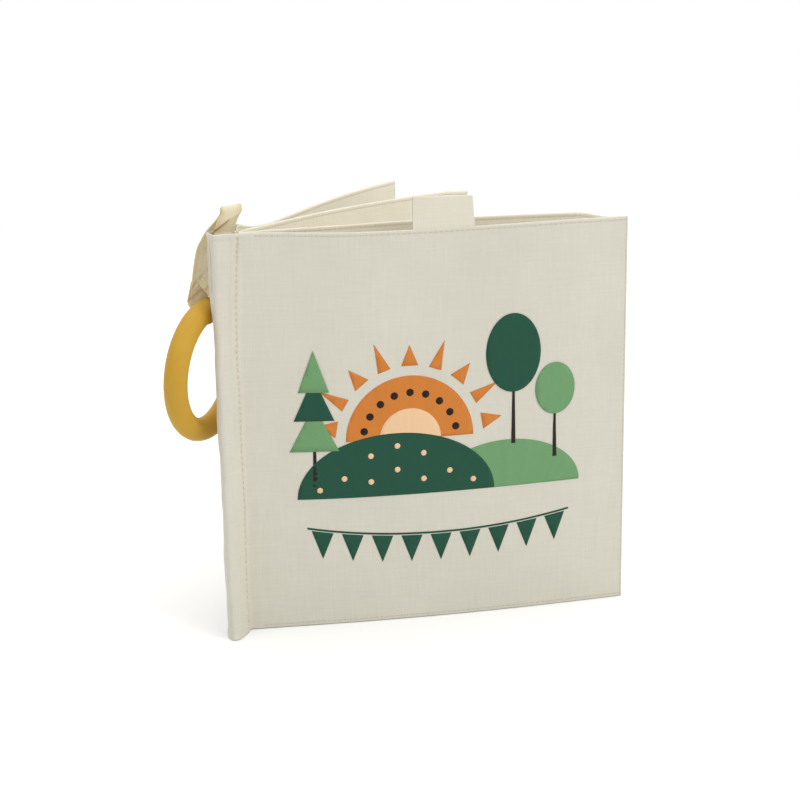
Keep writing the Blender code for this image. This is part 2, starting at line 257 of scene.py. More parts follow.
def calc(tree, operation, *values):
    """One Math node's result."""
    named = {f"i{place}": value for place, value in enumerate(values)}
    return add_node(tree, "ShaderNodeMath", set_operation=operation, **named).outputs[0]


def ramp(tree, value, low, high, to_low=0.0, to_high=1.0, kind="LINEAR"):
    """A value mapped from one range to another, and clamped there."""
    return add_node(
        tree, "ShaderNodeMapRange", set_interpolation_type=kind, Value=value,
        From_Min=low, From_Max=high, To_Min=to_low, To_Max=to_high,
    ).outputs["Result"]


def near_line(tree, value, centre, far, close, most=1.0):
    """A mask: most where the value is close to the centre, 0 where it is far from it."""
    off = calc(tree, "ABSOLUTE", calc(tree, "SUBTRACT", value, centre))
    return ramp(tree, off, far, close, 0.0, most, "SMOOTHSTEP")


def split(tree, place):
    """A place's three axes."""
    return add_node(tree, "ShaderNodeSeparateXYZ", Vector=place).outputs


def noise(tree, place, scale, detail, distortion=0.0):
    """Cloudy noise from 0 to 1."""
    return add_node(
        tree, "ShaderNodeTexNoise", Vector=place, Scale=scale, Detail=detail, Distortion=distortion
    ).outputs["Fac"]


def raise_relief(shader, height, strength, distance):
    """Bump on the shader."""
    relief = add_node(
        shader.id_data, "ShaderNodeBump", Height=height, Strength=strength, Distance=distance
    )
    feed(shader, Normal=relief.outputs["Normal"])


def mix_colour(tree, share, first, second):
    """Two colours mixed by a share."""
    return add_node(
        tree, "ShaderNodeMix", set_data_type="RGBA", i0=share, i6=first, i7=second
    ).outputs[2]


def tint(material, share, colour):
    """Mix a colour over whatever base colour the material already has."""
    tree = material.node_tree
    shader = tree.nodes["Principled BSDF"]
    base = shader.inputs["Base Color"].links[0].from_socket
    feed(shader, Base_Color=mix_colour(tree, share, base, (*colour, 1)))


def flat_place(tree):
    """The place on the flat cloth, in metres."""
    return add_node(tree, "ShaderNodeUVMap", set_uv_map="UVMap").outputs["UV"]


def solid_place(tree):
    """The place in the book, in metres."""
    return add_node(tree, "ShaderNodeTexCoord").outputs["Object"]


def plain_material(name, colour, roughness):
    """A Principled material with its tree."""
    material = bpy.data.materials.new(name)
    material.use_nodes = True
    shader = material.node_tree.nodes["Principled BSDF"]
    feed(shader, Base_Color=(*colour, 1), Roughness=roughness)
    return material, material.node_tree, shader


def start_group(name, inputs, outputs):
    """An empty node group with named sockets; inputs give each one's kind and usual value."""
    tree = bpy.data.node_groups.new(name, "ShaderNodeTree")
    for label, usual in inputs.items():
        kind = VECTOR if usual is None else FLOAT
        socket = tree.interface.new_socket(label, in_out="INPUT", socket_type=kind)
        if usual is not None:
            socket.default_value = usual
    for label in outputs:
        tree.interface.new_socket(label, in_out="OUTPUT", socket_type=FLOAT)
    entry = tree.nodes.new("NodeGroupInput")
    leave = tree.nodes.new("NodeGroupOutput")
    return tree, entry.outputs, leave.inputs


FLOAT = "NodeSocketFloat"
VECTOR = "NodeSocketVector"
print("node helpers ready")

# %% [markdown]
# Light: the book was pictured in an even, soft light on white. A white surround lights it
# from all sides, a wide light hangs over it, one soft light stands at the front right, and
# the floor washes out to white, with only a trace of a shadow where the cloth stands.

# %% Floor, surround and lights
FLOOR_SIZE = 2.6
FLOOR_DROP = 0.15 * MM
FLOOR_TONE = (0.82, 0.98)
FLOOR_GLOW = (0.0, 0.05)
SURROUND_STRENGTH = (0.69, 1.0)
LIGHTS = (
    ("key_light", (1.4, -1.4, 1.3), 1.2, 12, (1, 0.99, 0.97)),
    ("fill_light", (-1.6, -0.6, 1.4), 1.6, 1, (0.97, 0.985, 1)),
    ("top_light", (0.15, 0.25, 2.2), 2.4, 28, (1, 1, 1)),
)


def lit_or_seen(tree, lit, seen):
    """The first value for light on the book, the second where the background is looked at."""
    rays = tree.nodes.new("ShaderNodeLightPath").outputs
    mirrored = calc(tree, "MAXIMUM", rays["Is Glossy Ray"], rays["Is Transmission Ray"])
    looked_at = calc(tree, "MAXIMUM", rays["Is Camera Ray"], mirrored)
    return ramp(tree, looked_at, 0, 1, lit, seen)


start_clean()
bpy.ops.mesh.primitive_plane_add(size=FLOOR_SIZE, location=(0, 0, -FLOOR_DROP))
floor = bpy.context.object
floor.name = "studio_floor"
floor_paint, floor_tree, floor_shader = plain_material("studio_floor", (1, 1, 1), 1)
feed(
    floor_shader, Base_Color=lit_or_seen(floor_tree, *FLOOR_TONE), Specular_IOR_Level=0,
    Emission_Color=(1, 1, 1, 1), Emission_Strength=lit_or_seen(floor_tree, *FLOOR_GLOW),
)
floor.data.materials.append(floor_paint)

world = bpy.data.worlds.new("white_surround")
bpy.context.scene.world = world
world.use_nodes = True
feed(
    world.node_tree.nodes["Background"], Color=(1, 1, 1, 1),
    Strength=lit_or_seen(world.node_tree, *SURROUND_STRENGTH),
)
for name, place, size, watts, colour in LIGHTS:
    data = bpy.data.lights.new(name, "AREA")
    data.size = size
    data.energy = watts
    data.color = colour
    lamp = bpy.data.objects.new(name, data)
    bpy.context.scene.collection.objects.link(lamp)
    lamp.location = place
    aim = (cad_low + cad_high) / 2 - lamp.location
    lamp.rotation_euler = aim.to_track_quat("-Z", "Y").to_euler()
bpy.context.scene.view_settings.view_transform = "Standard"

# %% [markdown]
# An effect that several cloths share is a node group, built once. It reads the cloth's UV
# map, which holds the place on the flat cloth in metres, so threads keep their size and
# follow every fold. In plain weave, warp and weft pass over and under each other: two sine
# ridges cross, and a checker of their signs says which lies on top. Cotton is never even,
# so slubs, which are long thin swellings in the yarn, run along both directions.

# %% The weave group
weave, given, result = start_group(
    "Cotton weave",
    {"Flat place": None, "Thread pitch": 0.0005, "Slub length": 0.012},
    ("Height", "Slub", "Patch"),
)
flat_axes = split(weave, given["Flat place"])
half_turns = calc(weave, "DIVIDE", math.pi, given["Thread pitch"])
waves = [calc(weave, "SINE", calc(weave, "MULTIPLY", flat_axes[axis], half_turns)) for axis in (0, 1)]
over = calc(weave, "GREATER_THAN", calc(weave, "MULTIPLY", *waves), 0)
warp, weft = [calc(weave, "POWER", calc(weave, "ABSOLUTE", wave), 0.7) for wave in waves]
crossing = add_node(weave, "ShaderNodeMix", set_data_type="FLOAT", i0=over, i2=warp, i3=weft)
slubs = []
for long_axis in (0, 1):
    stretched = [
        calc(weave, "DIVIDE", flat_axes[axis], given["Slub length" if axis == long_axis else "Thread pitch"])
        for axis in (0, 1)
    ]
    yarn = add_node(
        weave, "ShaderNodeCombineXYZ", X=stretched[0], Y=stretched[1], Z=7.3 * (1 + long_axis)
    )
    slubs.append(noise(weave, yarn.outputs[0], 0.8, 2.0))
weave.links.new(crossing.outputs[0], result["Height"])
weave.links.new(calc(weave, "MULTIPLY", calc(weave, "ADD", *slubs), 0.5), result["Slub"])
weave.links.new(noise(weave, given["Flat place"], 22.0, 3.0), result["Patch"])
print("weave group nodes:", len(weave.nodes))

# %% [markdown]
# Needle holes: where thread dives into the cloth it leaves a small pit, and the cloth
# material paints shade into each pit and along the groove of the row. The row runs along
# one direction at a set distance, so one group gives one row's mask from the place along
# the row and the distance from it.

# %% The needle hole group
holes, given, result = start_group(
    "Needle holes",
    {"Along": 0.0, "Off row": 0.0, "Stitch pitch": 0.0024, "Hole size": 0.0004},
    ("Hole", "Crease"),
)
step_share = calc(holes, "FRACT", calc(holes, "DIVIDE", given["Along"], given["Stitch pitch"]))
from_hole = calc(
    holes, "MULTIPLY", calc(holes, "SUBTRACT", step_share, 0.5), given["Stitch pitch"]
)
squares = [calc(holes, "MULTIPLY", side, side) for side in (from_hole, given["Off row"])]
reach = calc(holes, "SQRT", calc(holes, "ADD", *squares))
sized = calc(holes, "DIVIDE", reach, given["Hole size"])
holes.links.new(ramp(holes, sized, 1.0, 0.35, kind="SMOOTHSTEP"), result["Hole"])
holes.links.new(near_line(holes, given["Off row"], 0.0, 0.7 * MM, 0.1 * MM), result["Crease"])
print("needle hole group nodes:", len(holes.nodes))

# %% [markdown]
# A cloth material paints shade into the hollows between the threads, mixes its base
# colour with the slubs and with broad faint patches, then turns the weave into bump. The
# Principled shader stays in the material itself, with a little sheen, as loose fibre ends
# catch the light at a glancing angle.

# %% Cloth materials
LEAF_LENGTH = 175.4 * MM
LEAF_HEIGHT = 180 * MM
STITCH_INSET = 1.6 * MM
FORE_INSET = 0.9 * MM
STITCH_PITCH = 2.4 * MM
PIT_SHADE_COLOUR = (0.40, 0.33, 0.22)
ROW_GROOVE_SHADE_SHARE = 0.12
HOLE_SHADE_SHARE = 0.6


def shade_stitch_rows(material):
    """Paint shade into the needle holes and along the groove of a leaf's three top-stitched rows."""
    tree = material.node_tree
    axes = split(tree, flat_place(tree))
    rows = (
        (axes[0], axes[1], STITCH_INSET),
        (axes[0], axes[1], LEAF_HEIGHT - STITCH_INSET),
        (axes[1], axes[0], LEAF_LENGTH - FORE_INSET),
    )
    pits = [
        add_node(
            tree, "ShaderNodeGroup", set_node_tree=holes, Along=along,
            Off_row=calc(tree, "SUBTRACT", beside, row), Stitch_pitch=STITCH_PITCH,
        ).outputs
        for along, beside, row in rows
    ]
    # Painted shade: darker in the needle holes and in the groove along each row.
    for mask, share in (("Crease", ROW_GROOVE_SHADE_SHARE), ("Hole", HOLE_SHADE_SHARE)):
        both = calc(tree, "MAXIMUM", pits[1][mask], pits[2][mask])
        deepest = calc(tree, "MAXIMUM", pits[0][mask], both)
        tint(material, calc(tree, "MULTIPLY", deepest, share), PIT_SHADE_COLOUR)


def cloth_material(
    name, colour, hollow_shade, pitch=0.5 * MM, bump=0.25, sheen=0.2, roughness=0.92, stitched=False
):
    """Woven cloth: colour on the ridges and patches, painted shade in the hollows between threads."""
    material, tree, shader = plain_material(name, colour, roughness)
    cloth = add_node(
        tree, "ShaderNodeGroup", set_node_tree=weave, Flat_place=flat_place(tree), Thread_pitch=pitch
    ).outputs
    # Painted shade: the second colour fills the hollows between the threads, the first lies on the ridges.
    shade = mix_colour(tree, ramp(tree, cloth["Height"], 0, 0.8, 0.16), (*hollow_shade, 1), (*colour, 1))
    uneven = ramp(tree, cloth["Slub"], 0.3, 0.7, 0.955, 1.03)
    patched = ramp(tree, cloth["Patch"], 0.3, 0.7, 0.975, 1.02)
    tone = calc(tree, "MULTIPLY", uneven, patched)
    toned = add_node(tree, "ShaderNodeVectorMath", set_operation="SCALE", i0=shade, Scale=tone)
    height = calc(tree, "ADD", cloth["Height"], calc(tree, "MULTIPLY", cloth["Slub"], 1.2))
    feed(
        shader, Base_Color=toned.outputs[0], Sheen_Weight=sheen, Sheen_Roughness=0.5,
        Specular_IOR_Level=0.2,
        Roughness=ramp(tree, cloth["Slub"], 0, 1, roughness - 0.05, roughness + 0.05),
    )
    raise_relief(shader, height, bump, 0.06 * MM)
    if stitched:
        shade_stitch_rows(material)
    return material


COVER_TONE = (0.705, 0.678, 0.582)
COVER_HOLLOW_SHADE = (0.580, 0.547, 0.445)
cover_cloth = cloth_material("cover_cloth", COVER_TONE, COVER_HOLLOW_SHADE, stitched=True)
page_cloth = cloth_material("page_cloth", (0.820, 0.767, 0.634), (0.71, 0.645, 0.505), stitched=True)
lining_cloth = cloth_material("lining_cloth", (0.830, 0.788, 0.655), (0.73, 0.67, 0.53), stitched=True)
spine_cloth = cloth_material("spine_cloth", COVER_TONE, COVER_HOLLOW_SHADE)
margin_cloth = cloth_material("margin_cloth", (0.66, 0.60, 0.47), (0.48, 0.42, 0.31))
strap_cloth = cloth_material(
    "strap_tape", (0.82, 0.745, 0.53), (0.62, 0.53, 0.34), pitch=0.62 * MM, bump=0.45
)
label_cloth = cloth_material(
    "label_tape", (0.78, 0.74, 0.62), (0.66, 0.61, 0.49), pitch=0.36 * MM, bump=0.15, roughness=0.7
)
print("cloth materials:", [m.name for m in bpy.data.materials if "cloth" in m.name])

# %% [markdown]
# Thread is a twisted yarn: a fine diagonal stripe of bump and painted shade along each
# stitch. The film that crackles is clear plastic, creased all over, and the wadding is loose
# white fibre.


# %% Thread, film and wadding
def thread_material(name, colour):
    """Twisted cotton thread, with painted shade in the grooves of its twist."""
    material, tree, shader = plain_material(name, colour, 0.75)
    stripes = add_node(
        tree, "ShaderNodeTexWave", Vector=solid_place(tree), Scale=2600.0, Distortion=1.5,
        set_bands_direction="DIAGONAL",
    ).outputs["Fac"]
    # Painted shade: darker stripes in the grooves of the twist.
    twist_shade = tuple(0.72 * c for c in colour)
    feed(shader, Base_Color=mix_colour(tree, stripes, (*twist_shade, 1), (*colour, 1)), Sheen_Weight=0.2)
    raise_relief(shader, stripes, 0.3, 0.05 * MM)
    return material


cover_thread = thread_material("cover_thread", (0.67, 0.61, 0.48))
seam_thread = thread_material("seam_thread", (0.72, 0.655, 0.52))
film, film_tree, film_shader = plain_material("crinkle_film", (0.86, 0.87, 0.88), 0.22)
creases = add_node(
    film_tree, "ShaderNodeTexVoronoi", Vector=solid_place(film_tree), Scale=90.0,
    set_feature="DISTANCE_TO_EDGE",
).outputs["Distance"]
raise_relief(film_shader, creases, 0.6, 0.4 * MM)
wadding, wadding_tree, wadding_shader = plain_material("polyester_wadding", (0.88, 0.88, 0.87), 1)
fibres = noise(wadding_tree, solid_place(wadding_tree), 900.0, 6.0, 2.0)
raise_relief(wadding_shader, fibres, 0.8, 0.5 * MM)
print("thread, film and wadding ready")

# %% [markdown]
# A quilted ply: one flat sheet, its lines set close together near the edges, is blown up
# by Blender's cloth solver while its sewn rim stays put. The cloth starts a little larger
# than the rim allows, so it gathers into puckers there, as real quilted cloth does.


# %% The flat sheet
def flat_sheet(name, lines_x, lines_z):
    """A grid in the XZ plane with its lines at these places, facing -Y, UV in metres."""
    start_clean()
    bpy.ops.mesh.primitive_grid_add(
        x_subdivisions=len(lines_x) - 1, y_subdivisions=len(lines_z) - 1, size=1, calc_uvs=True
    )
    sheet = new_piece(name)
    points = read_points(sheet)
    columns = np.rint((points[:, 0] + 0.5) * (len(lines_x) - 1)).astype(int)
    rows = np.rint((points[:, 1] + 0.5) * (len(lines_z) - 1)).astype(int)
    placed = np.stack([np.asarray(lines_x)[columns], 0 * points[:, 0], np.asarray(lines_z)[rows]], 1)
    write_points(sheet, placed)
    write_uv(sheet, placed[:, [0, 2]])
    return sheet


def lay_sheet(sheet, thickness, sides_at, sharp=50):
    """Thicken a flat sheet; sides_at says where the two sides of a flat point lie."""
    flat = read_points(sheet)
    apply_modifier(sheet, "SOLIDIFY", thickness=thickness, offset=-1)
    sides = [sides_at(x, z) for x, _, z in flat]
    write_points(sheet, [tuple(pair[side]) for side in (0, 1) for pair in sides])
    finish_faces(sheet, sharp)


RIM_LINES = np.array([0, 0.25, 0.7, 1.3, 2.0, 2.7, 3.7, 5.2, 7.2]) * MM
FOLD_LINES = np.array([-0.3, 0.6, 1.6, 3.0, 4.8, 7.2]) * MM
CELL = 3.2 * MM


def with_rims(length, near_rim, far_rim):
    """Lines from 0 to length: close at the rims, even in the middle."""
    middle = np.arange(near_rim[-1], length - far_rim[-1], CELL)[1:]
    return np.concatenate([near_rim, middle, (length - far_rim)[::-1]])


lines_along = with_rims(LEAF_LENGTH, FOLD_LINES, RIM_LINES)
lines_up = with_rims(LEAF_HEIGHT, RIM_LINES, RIM_LINES)
quilt = flat_sheet("quilted_ply", lines_along, lines_up)
print("points in the sheet:", len(quilt.data.vertices))

# %% [markdown]
# The solver runs with gravity off: pressure lifts the middle, pinned points hold the rim.
# What it gives is then measured and scaled, because a quilted page is only a few
# millimetres thick. The broad dome and the fine puckers are scaled apart.

# %% Blow up the ply
CROWN = 1.9 * MM
PUCKER = 0.34 * MM
HELD_RIM = 2.2 * MM
HELD_FOLD = 1.0 * MM
SIMULATED_FRAMES = 20
CLOTH_SETTINGS = {
    "quality": 6,
    "mass": 0.1,
    "tension_stiffness": 25,
    "compression_stiffness": 25,
    "shear_stiffness": 8,
    "bending_stiffness": 0.4,
    "vertex_group_mass": "sewn",
    "use_pressure": True,
    "uniform_pressure_force": 4,
    "shrink_min": -0.012,
}


def rim_distance(x, z):
    """How far a point is from the nearest stitched edge."""
    return np.minimum(LEAF_LENGTH - x, np.minimum(z, LEAF_HEIGHT - z))


rest = read_points(quilt)
order = np.lexsort((rest[:, 0], rest[:, 2]))
shape = (len(lines_up), len(lines_along))
sewn = quilt.vertex_groups.new(name="sewn")
held = (rim_distance(rest[:, 0], rest[:, 2]) < HELD_RIM) | (rest[:, 0] < HELD_FOLD)
sewn.add(np.flatnonzero(held).tolist(), 1, "REPLACE")
pick(quilt)
cloth = quilt.modifiers.new("Cloth", "CLOTH")
for name, value in CLOTH_SETTINGS.items():
    setattr(cloth.settings, name, value)
cloth.settings.effector_weights.gravity = 0
for number in range(1, SIMULATED_FRAMES + 1):
    bpy.context.scene.frame_set(number)
bpy.ops.object.modifier_apply(modifier=cloth.name)
bpy.context.scene.frame_set(1)
lift = -read_points(quilt)[order, 1].reshape(shape)
print("lift of the blown ply in mm:", round(lift.max() / MM, 2))


def softened(field, times):
    """The field with its neighbours averaged in, over and over."""
    for _ in range(times):
        padded = np.pad(field, 1, mode="edge")
        beside = padded[:-2, 1:-1] + padded[2:, 1:-1] + padded[1:-1, :-2] + padded[1:-1, 2:]
        field = (beside + 2 * field) / 6
    return field


dome = softened(lift, 60)
puckers = softened(lift, 1) - dome
edge_fade = rim_distance(rest[order, 0], rest[order, 2]).reshape(shape) - STITCH_INSET
crown = dome / dome.max() * CROWN
if abs(puckers).max() > 0:
    crown = crown + puckers / np.percentile(abs(puckers), 98) * PUCKER
crown = np.maximum(crown, 0) * np.clip(edge_fade / (3 * MM), 0, 1)
print("crown in mm:", round(crown.max() / MM, 2))


def crown_at(x, z):
    """The crown at any place on the flat ply, read between the sheet's lines."""
    x = np.clip(np.asarray(x, float), lines_along[0], lines_along[-1])
    z = np.clip(np.asarray(z, float), lines_up[0], lines_up[-1])
    column = np.clip(np.searchsorted(lines_along, x) - 1, 0, len(lines_along) - 2)
    row = np.clip(np.searchsorted(lines_up, z) - 1, 0, len(lines_up) - 2)
    s = (x - lines_along[column]) / (lines_along[column + 1] - lines_along[column])
    t = (z - lines_up[row]) / (lines_up[row + 1] - lines_up[row])
    low = crown[row, column] * (1 - s) + crown[row, column + 1] * s
    high = crown[row + 1, column] * (1 - s) + crown[row + 1, column + 1] * s
    return low * (1 - t) + high * t


# %% [markdown]
# The hem: outside the stitch line the cloth is turned in, so the edge is rounded and two
# plies meet there. Under the thread the cloth is drawn down into a shallow groove. The
# outer side of every ply is this profile plus the crown.

# %% The hem's profile on the sheet
PLY_HALF = 0.65 * MM
PLY_CLOTH = 0.45 * MM
SEAM_HALF_GAP = 0.03 * MM
ROLL_WIDTH = 0.8 * MM
GROOVE_DEPTH = 0.13 * MM
GROOVE_WIDTH = 0.5 * MM


def face_height(x, z, flipped=False):
    """The outer side's height over the leaf's middle."""
    from_row = np.minimum(
        abs(LEAF_LENGTH - x - FORE_INSET), abs(np.minimum(z, LEAF_HEIGHT - z) - STITCH_INSET)
    )
    hem = PLY_HALF * rounded(rim_distance(x, z) / ROLL_WIDTH, 0.01)
    hem = hem - GROOVE_DEPTH * bell(from_row, GROOVE_WIDTH)
    return hem + crown_at(x, LEAF_HEIGHT - z if flipped else z)


points = rest.copy()
points[:, 1] = -face_height(rest[:, 0], rest[:, 2])
write_points(quilt, points)
apply_modifier(quilt, "SUBSURF", levels=1, render_levels=1)
print("points in the quilted ply:", len(quilt.data.vertices))

# %% [markdown]
# Each leaf stands at its own angle and bows a little behind its chord. These numbers are
# the frame's own, so each ply is laid over the solid that it stands for: a flat place
# along, behind and up the leaf becomes a place in the book.

# %% Where each leaf stands
LEAVES = ("front_cover", "page_1", "page_2", "back_cover")


def by_leaf(*values):
    """One value for each leaf, from the front to the back."""
    return dict(zip(LEAVES, values))


LEAF_ANGLE = by_leaf(0.0, 4.8, 40.5, 53.7)
LEAF_BOW = by_leaf(-4 * MM, 10 * MM, 9 * MM, 8 * MM)
TOP_SAG = by_leaf(1.5 * MM, 0.5 * MM, 0, 3 * MM)
CORNER_DROOP = by_leaf(0, 2.5 * MM, 1 * MM, 0)
FORE_LIFT = by_leaf(0, 0, 0, 2 * MM)
CORNER_RISE = by_leaf(0, 0, 0.4 * MM, 3 * MM)
RISE_START = 1.2 * MM
FOLD_PITCH = 1.8 * MM
TOP_SAG_SHARE = 0.30
DROOP_START_SHARE = 0.90
FRONT_PLY = by_leaf("face", "front", "front", "lining")
BACK_PLY = by_leaf("lining", "back", "back", "face")

FOLDS = {"front_cover": Vector((1.6, 0, 0)) * MM}
for near, far in zip(LEAVES, LEAVES[1:]):
    square = math.pi / 2 + math.radians(LEAF_ANGLE[near] + LEAF_ANGLE[far]) / 2
    FOLDS[far] = FOLDS[near] + Vector((math.cos(square), math.sin(square), 0)) * FOLD_PITCH


def in_leaf(leaf, x, y, z):
    """The place in the book of a point x along, y behind and z up the flat leaf."""
    x, y, z = (np.asarray(c, float) for c in (x, y, z))
    along = x / LEAF_LENGTH
    rising = along / TOP_SAG_SHARE
    falling = (1 - along) / (1 - TOP_SAG_SHARE)
    sag = eased(np.where(along < TOP_SAG_SHARE, rising, falling))
    droop = eased((along - DROOP_START_SHARE) / (1 - DROOP_START_SHARE))
    rise = bell(x, 14 * MM) * eased((x - RISE_START) / (2.5 * MM))
    top = LEAF_HEIGHT - TOP_SAG[leaf] * sag - CORNER_DROOP[leaf] * droop + CORNER_RISE[leaf] * rise
    behind = LEAF_BOW[leaf] * np.sin(np.pi * along) + y
    turn = math.radians(LEAF_ANGLE[leaf])
    fold = FOLDS[leaf]
    return np.stack(
        [
            fold.x + x * math.cos(turn) - behind * math.sin(turn),
            fold.y + x * math.sin(turn) + behind * math.cos(turn),
            z * top / LEAF_HEIGHT + FORE_LIFT[leaf] * along,
        ],
        -1,
    )


print("folds in mm:", {leaf: [round(c / MM, 2) for c in place] for leaf, place in FOLDS.items()})

# %% [markdown]
# Two plies make a leaf. Both are copies of the quilted sheet, and the back one is
# mirrored, as a page is. Solidify gives the ply an inner side, which is then set
# so that the two plies only just meet at the hem.

# %% Sew the plies
CLOTH_OF = by_leaf(cover_cloth, page_cloth, page_cloth, cover_cloth)
FLIPPED = {("front_cover", 1), ("page_1", -1), ("page_2", 1), ("back_cover", 1)}
SIDES = [(leaf, side, (FRONT_PLY if side < 0 else BACK_PLY)[leaf]) for leaf in LEAVES for side in (-1, 1)]

for leaf, side, layer in SIDES:
    ply = quilt.copy()
    ply.data = quilt.data.copy()
    ply.name = ply.data.name = f"{leaf}_{layer}_ply"
    bpy.context.scene.collection.objects.link(ply)
    outer = read_points(ply)
    x, height, z = outer[:, 0], -outer[:, 1], outer[:, 2]
    if (leaf, side) in FLIPPED:
        z = LEAF_HEIGHT - z
    apply_modifier(ply, "SOLIDIFY", thickness=PLY_CLOTH, offset=-1)
    inner = np.maximum(height - PLY_CLOTH, SEAM_HALF_GAP)
    write_points(ply, np.concatenate([in_leaf(leaf, x, side * y, z) for y in (height, inner)]))
    finish_faces(ply)
    cloth = lining_cloth if layer == "lining" else CLOTH_OF[leaf]
    dress(ply, leaf, cloth, [f"{leaf}_{layer}"])
bpy.data.objects.remove(quilt)
print("plies:", len(SIDES))

# %% [markdown]
# Between the plies lie the film that crackles and the wadding. They can't be seen, but
# they are there, smaller than the leaf so that no needle catches them. The film is
# creased by hand use: a few sines of unlike length give sharp and shallow folds.

# %% Film and wadding
FILLING_INSET_ALONG = 24 * MM
FILLING_INSET_UP = 14 * MM
FILLING_ALONG = np.linspace(FILLING_INSET_ALONG, LEAF_LENGTH - FILLING_INSET_ALONG, 49)
FILLING_UP = np.linspace(FILLING_INSET_UP, LEAF_HEIGHT - FILLING_INSET_UP, 57)
LAYERS = (
    ("film", (-0.80, -0.66), 0.06, film, "crinkle_film"),
    ("wadding", (-0.55, 0.70), 0, wadding, "polyester_wadding"),
)

for leaf in LEAVES:
    for layer, shares, crackle, paint, slot in LAYERS:
        piece = flat_sheet(f"{leaf}_{layer}_sheet", FILLING_ALONG, FILLING_UP)
        x, _, z = read_points(piece).T
        apply_modifier(piece, "SOLIDIFY", thickness=PLY_CLOTH, offset=-1)
        room = np.minimum(face_height(x, z), face_height(x, z, True)) - PLY_CLOTH
        crease = crackle * np.sin(x * 900 + 3 * np.sin(z * 260)) * np.sin(z * 700 + 2 * np.sin(x * 310))
        faces = [in_leaf(leaf, x, (share + crease) * room, z) for share in shares]
        write_points(piece, np.concatenate(faces))
        finish_faces(piece, 40)
        dress(piece, leaf, paint, [f"{leaf}_{layer}"])
print("film and wadding laid in", len(LEAVES), "leaves")

# %% [markdown]
# One stitch is modelled once: a short bead of thread that rises from one needle hole and
# dives into the next. Rows of stitches are copies of it, each laid along its row and
# square to the cloth, and joined into one piece of sewing for each side of a leaf.

# %% One stitch
start_clean()
bpy.ops.mesh.primitive_cylinder_add(vertices=6, radius=1, depth=2, rotation=(0, math.pi / 2, 0))
bead = new_piece("stitch_bead")
cut_piece(bead, [(0, (-0.6, -0.2, 0.2, 0.6))])
bead_points = read_points(bead)
bead_points[:, 1:] *= np.sqrt(np.clip(1 - 0.72 * bead_points[:, :1] ** 2, 0, 1))
bead_points[:, 2] += 0.9 * (1 - bead_points[:, 0] ** 2) - 0.55
bead_faces = [tuple(f.vertices) for f in bead.data.polygons]
bpy.data.objects.remove(bead)
print("a stitch has", len(bead_faces), "faces")


def sew(name, places, lines, normals, length, thickness, sink):
    """A row of stitches: each one's middle, the way it runs, and the way out of the cloth."""
    places, lines, normals = (np.asarray(v, float) for v in (places, lines, normals))
    lines = lines / np.linalg.norm(lines, axis=1, keepdims=True)
    sides = np.cross(normals, lines)
    sides /= np.linalg.norm(sides, axis=1, keepdims=True)
    outward = np.cross(lines, sides)
    radius = thickness / 2
    points = (
        places[:, None]
        + lines[:, None] * bead_points[None, :, 0:1] * length / 2
        + sides[:, None] * bead_points[None, :, 1:2] * radius
        + outward[:, None] * (bead_points[None, :, 2:3] * radius - sink)
    ).reshape(-1, 3)
    count = len(bead_points)
    faces = [[v + count * n for v in face] for n in range(len(places)) for face in bead_faces]
    mesh = bpy.data.meshes.new(name)
    mesh.from_pydata(points.tolist(), [], faces)
    made = bpy.data.objects.new(name, mesh)
    bpy.context.scene.collection.objects.link(made)
    face_outwards(made)
    bpy.ops.object.shade_smooth()
    return made


# %% [markdown]
# Top-stitching runs just inside the three free edges of every leaf, on both faces. The
# needle holes in the cloth material use the same pitch, so each stitch spans from one
# hole to the next.

# %% Top-stitch the leaves
STITCH_LENGTH = 2.0 * MM
THREAD_THICKNESS = 0.28 * MM
THREAD_SINK = 0.02 * MM
FAR_X = LEAF_LENGTH - FORE_INSET
TOP_Z = LEAF_HEIGHT - STITCH_INSET
ROWS = (
    ((3.2 * MM, STITCH_INSET), (FAR_X, STITCH_INSET), 0),
    ((3.2 * MM, TOP_Z), (FAR_X, TOP_Z), 0),
    ((FAR_X, STITCH_INSET), (FAR_X, TOP_Z), 1),
)


def leaf_row(leaf, side, start, end, axis):
    """Places, directions and normals of the stitches between two flat places."""
    first = math.ceil(start[axis] / STITCH_PITCH)
    count = int((end[axis] - start[axis]) / STITCH_PITCH)
    flat = np.repeat([start], count, 0)
    flat[:, axis] = (first + np.arange(count)) * STITCH_PITCH
    x, z = flat.T
    height = face_height(x, z) * side
    step = np.eye(2)[axis] * 0.2 * MM
    middle = in_leaf(leaf, x, height, z)
    onward = in_leaf(leaf, x + step[0], height, z + step[1])
    proud = in_leaf(leaf, x, height + side * 0.2 * MM, z)
    return middle, onward - middle, proud - middle


for leaf, side, layer in SIDES:
    rows = [leaf_row(leaf, side, *row) for row in ROWS]
    middle, line, normal = (np.concatenate(part) for part in zip(*rows))
    row = sew(
        f"{leaf}_{layer}_topstitch", middle, line, normal, STITCH_LENGTH, THREAD_THICKNESS, THREAD_SINK
    )
    dress(row, leaf, cover_thread)
print("stitches on one side of a leaf:", len(middle))

# %% [markdown]
# The spine is one strip of cover cloth wrapped round the sewn margins, open at both ends
# and bent forward at its foot. Seven plan points at each height give a smooth curve. Its
# two ends are hemmed, and a soft ripple keeps it from looking like a folded card. High on
# its far side the cloth is pinched, and two tan lines of painted shade run down the pinch.

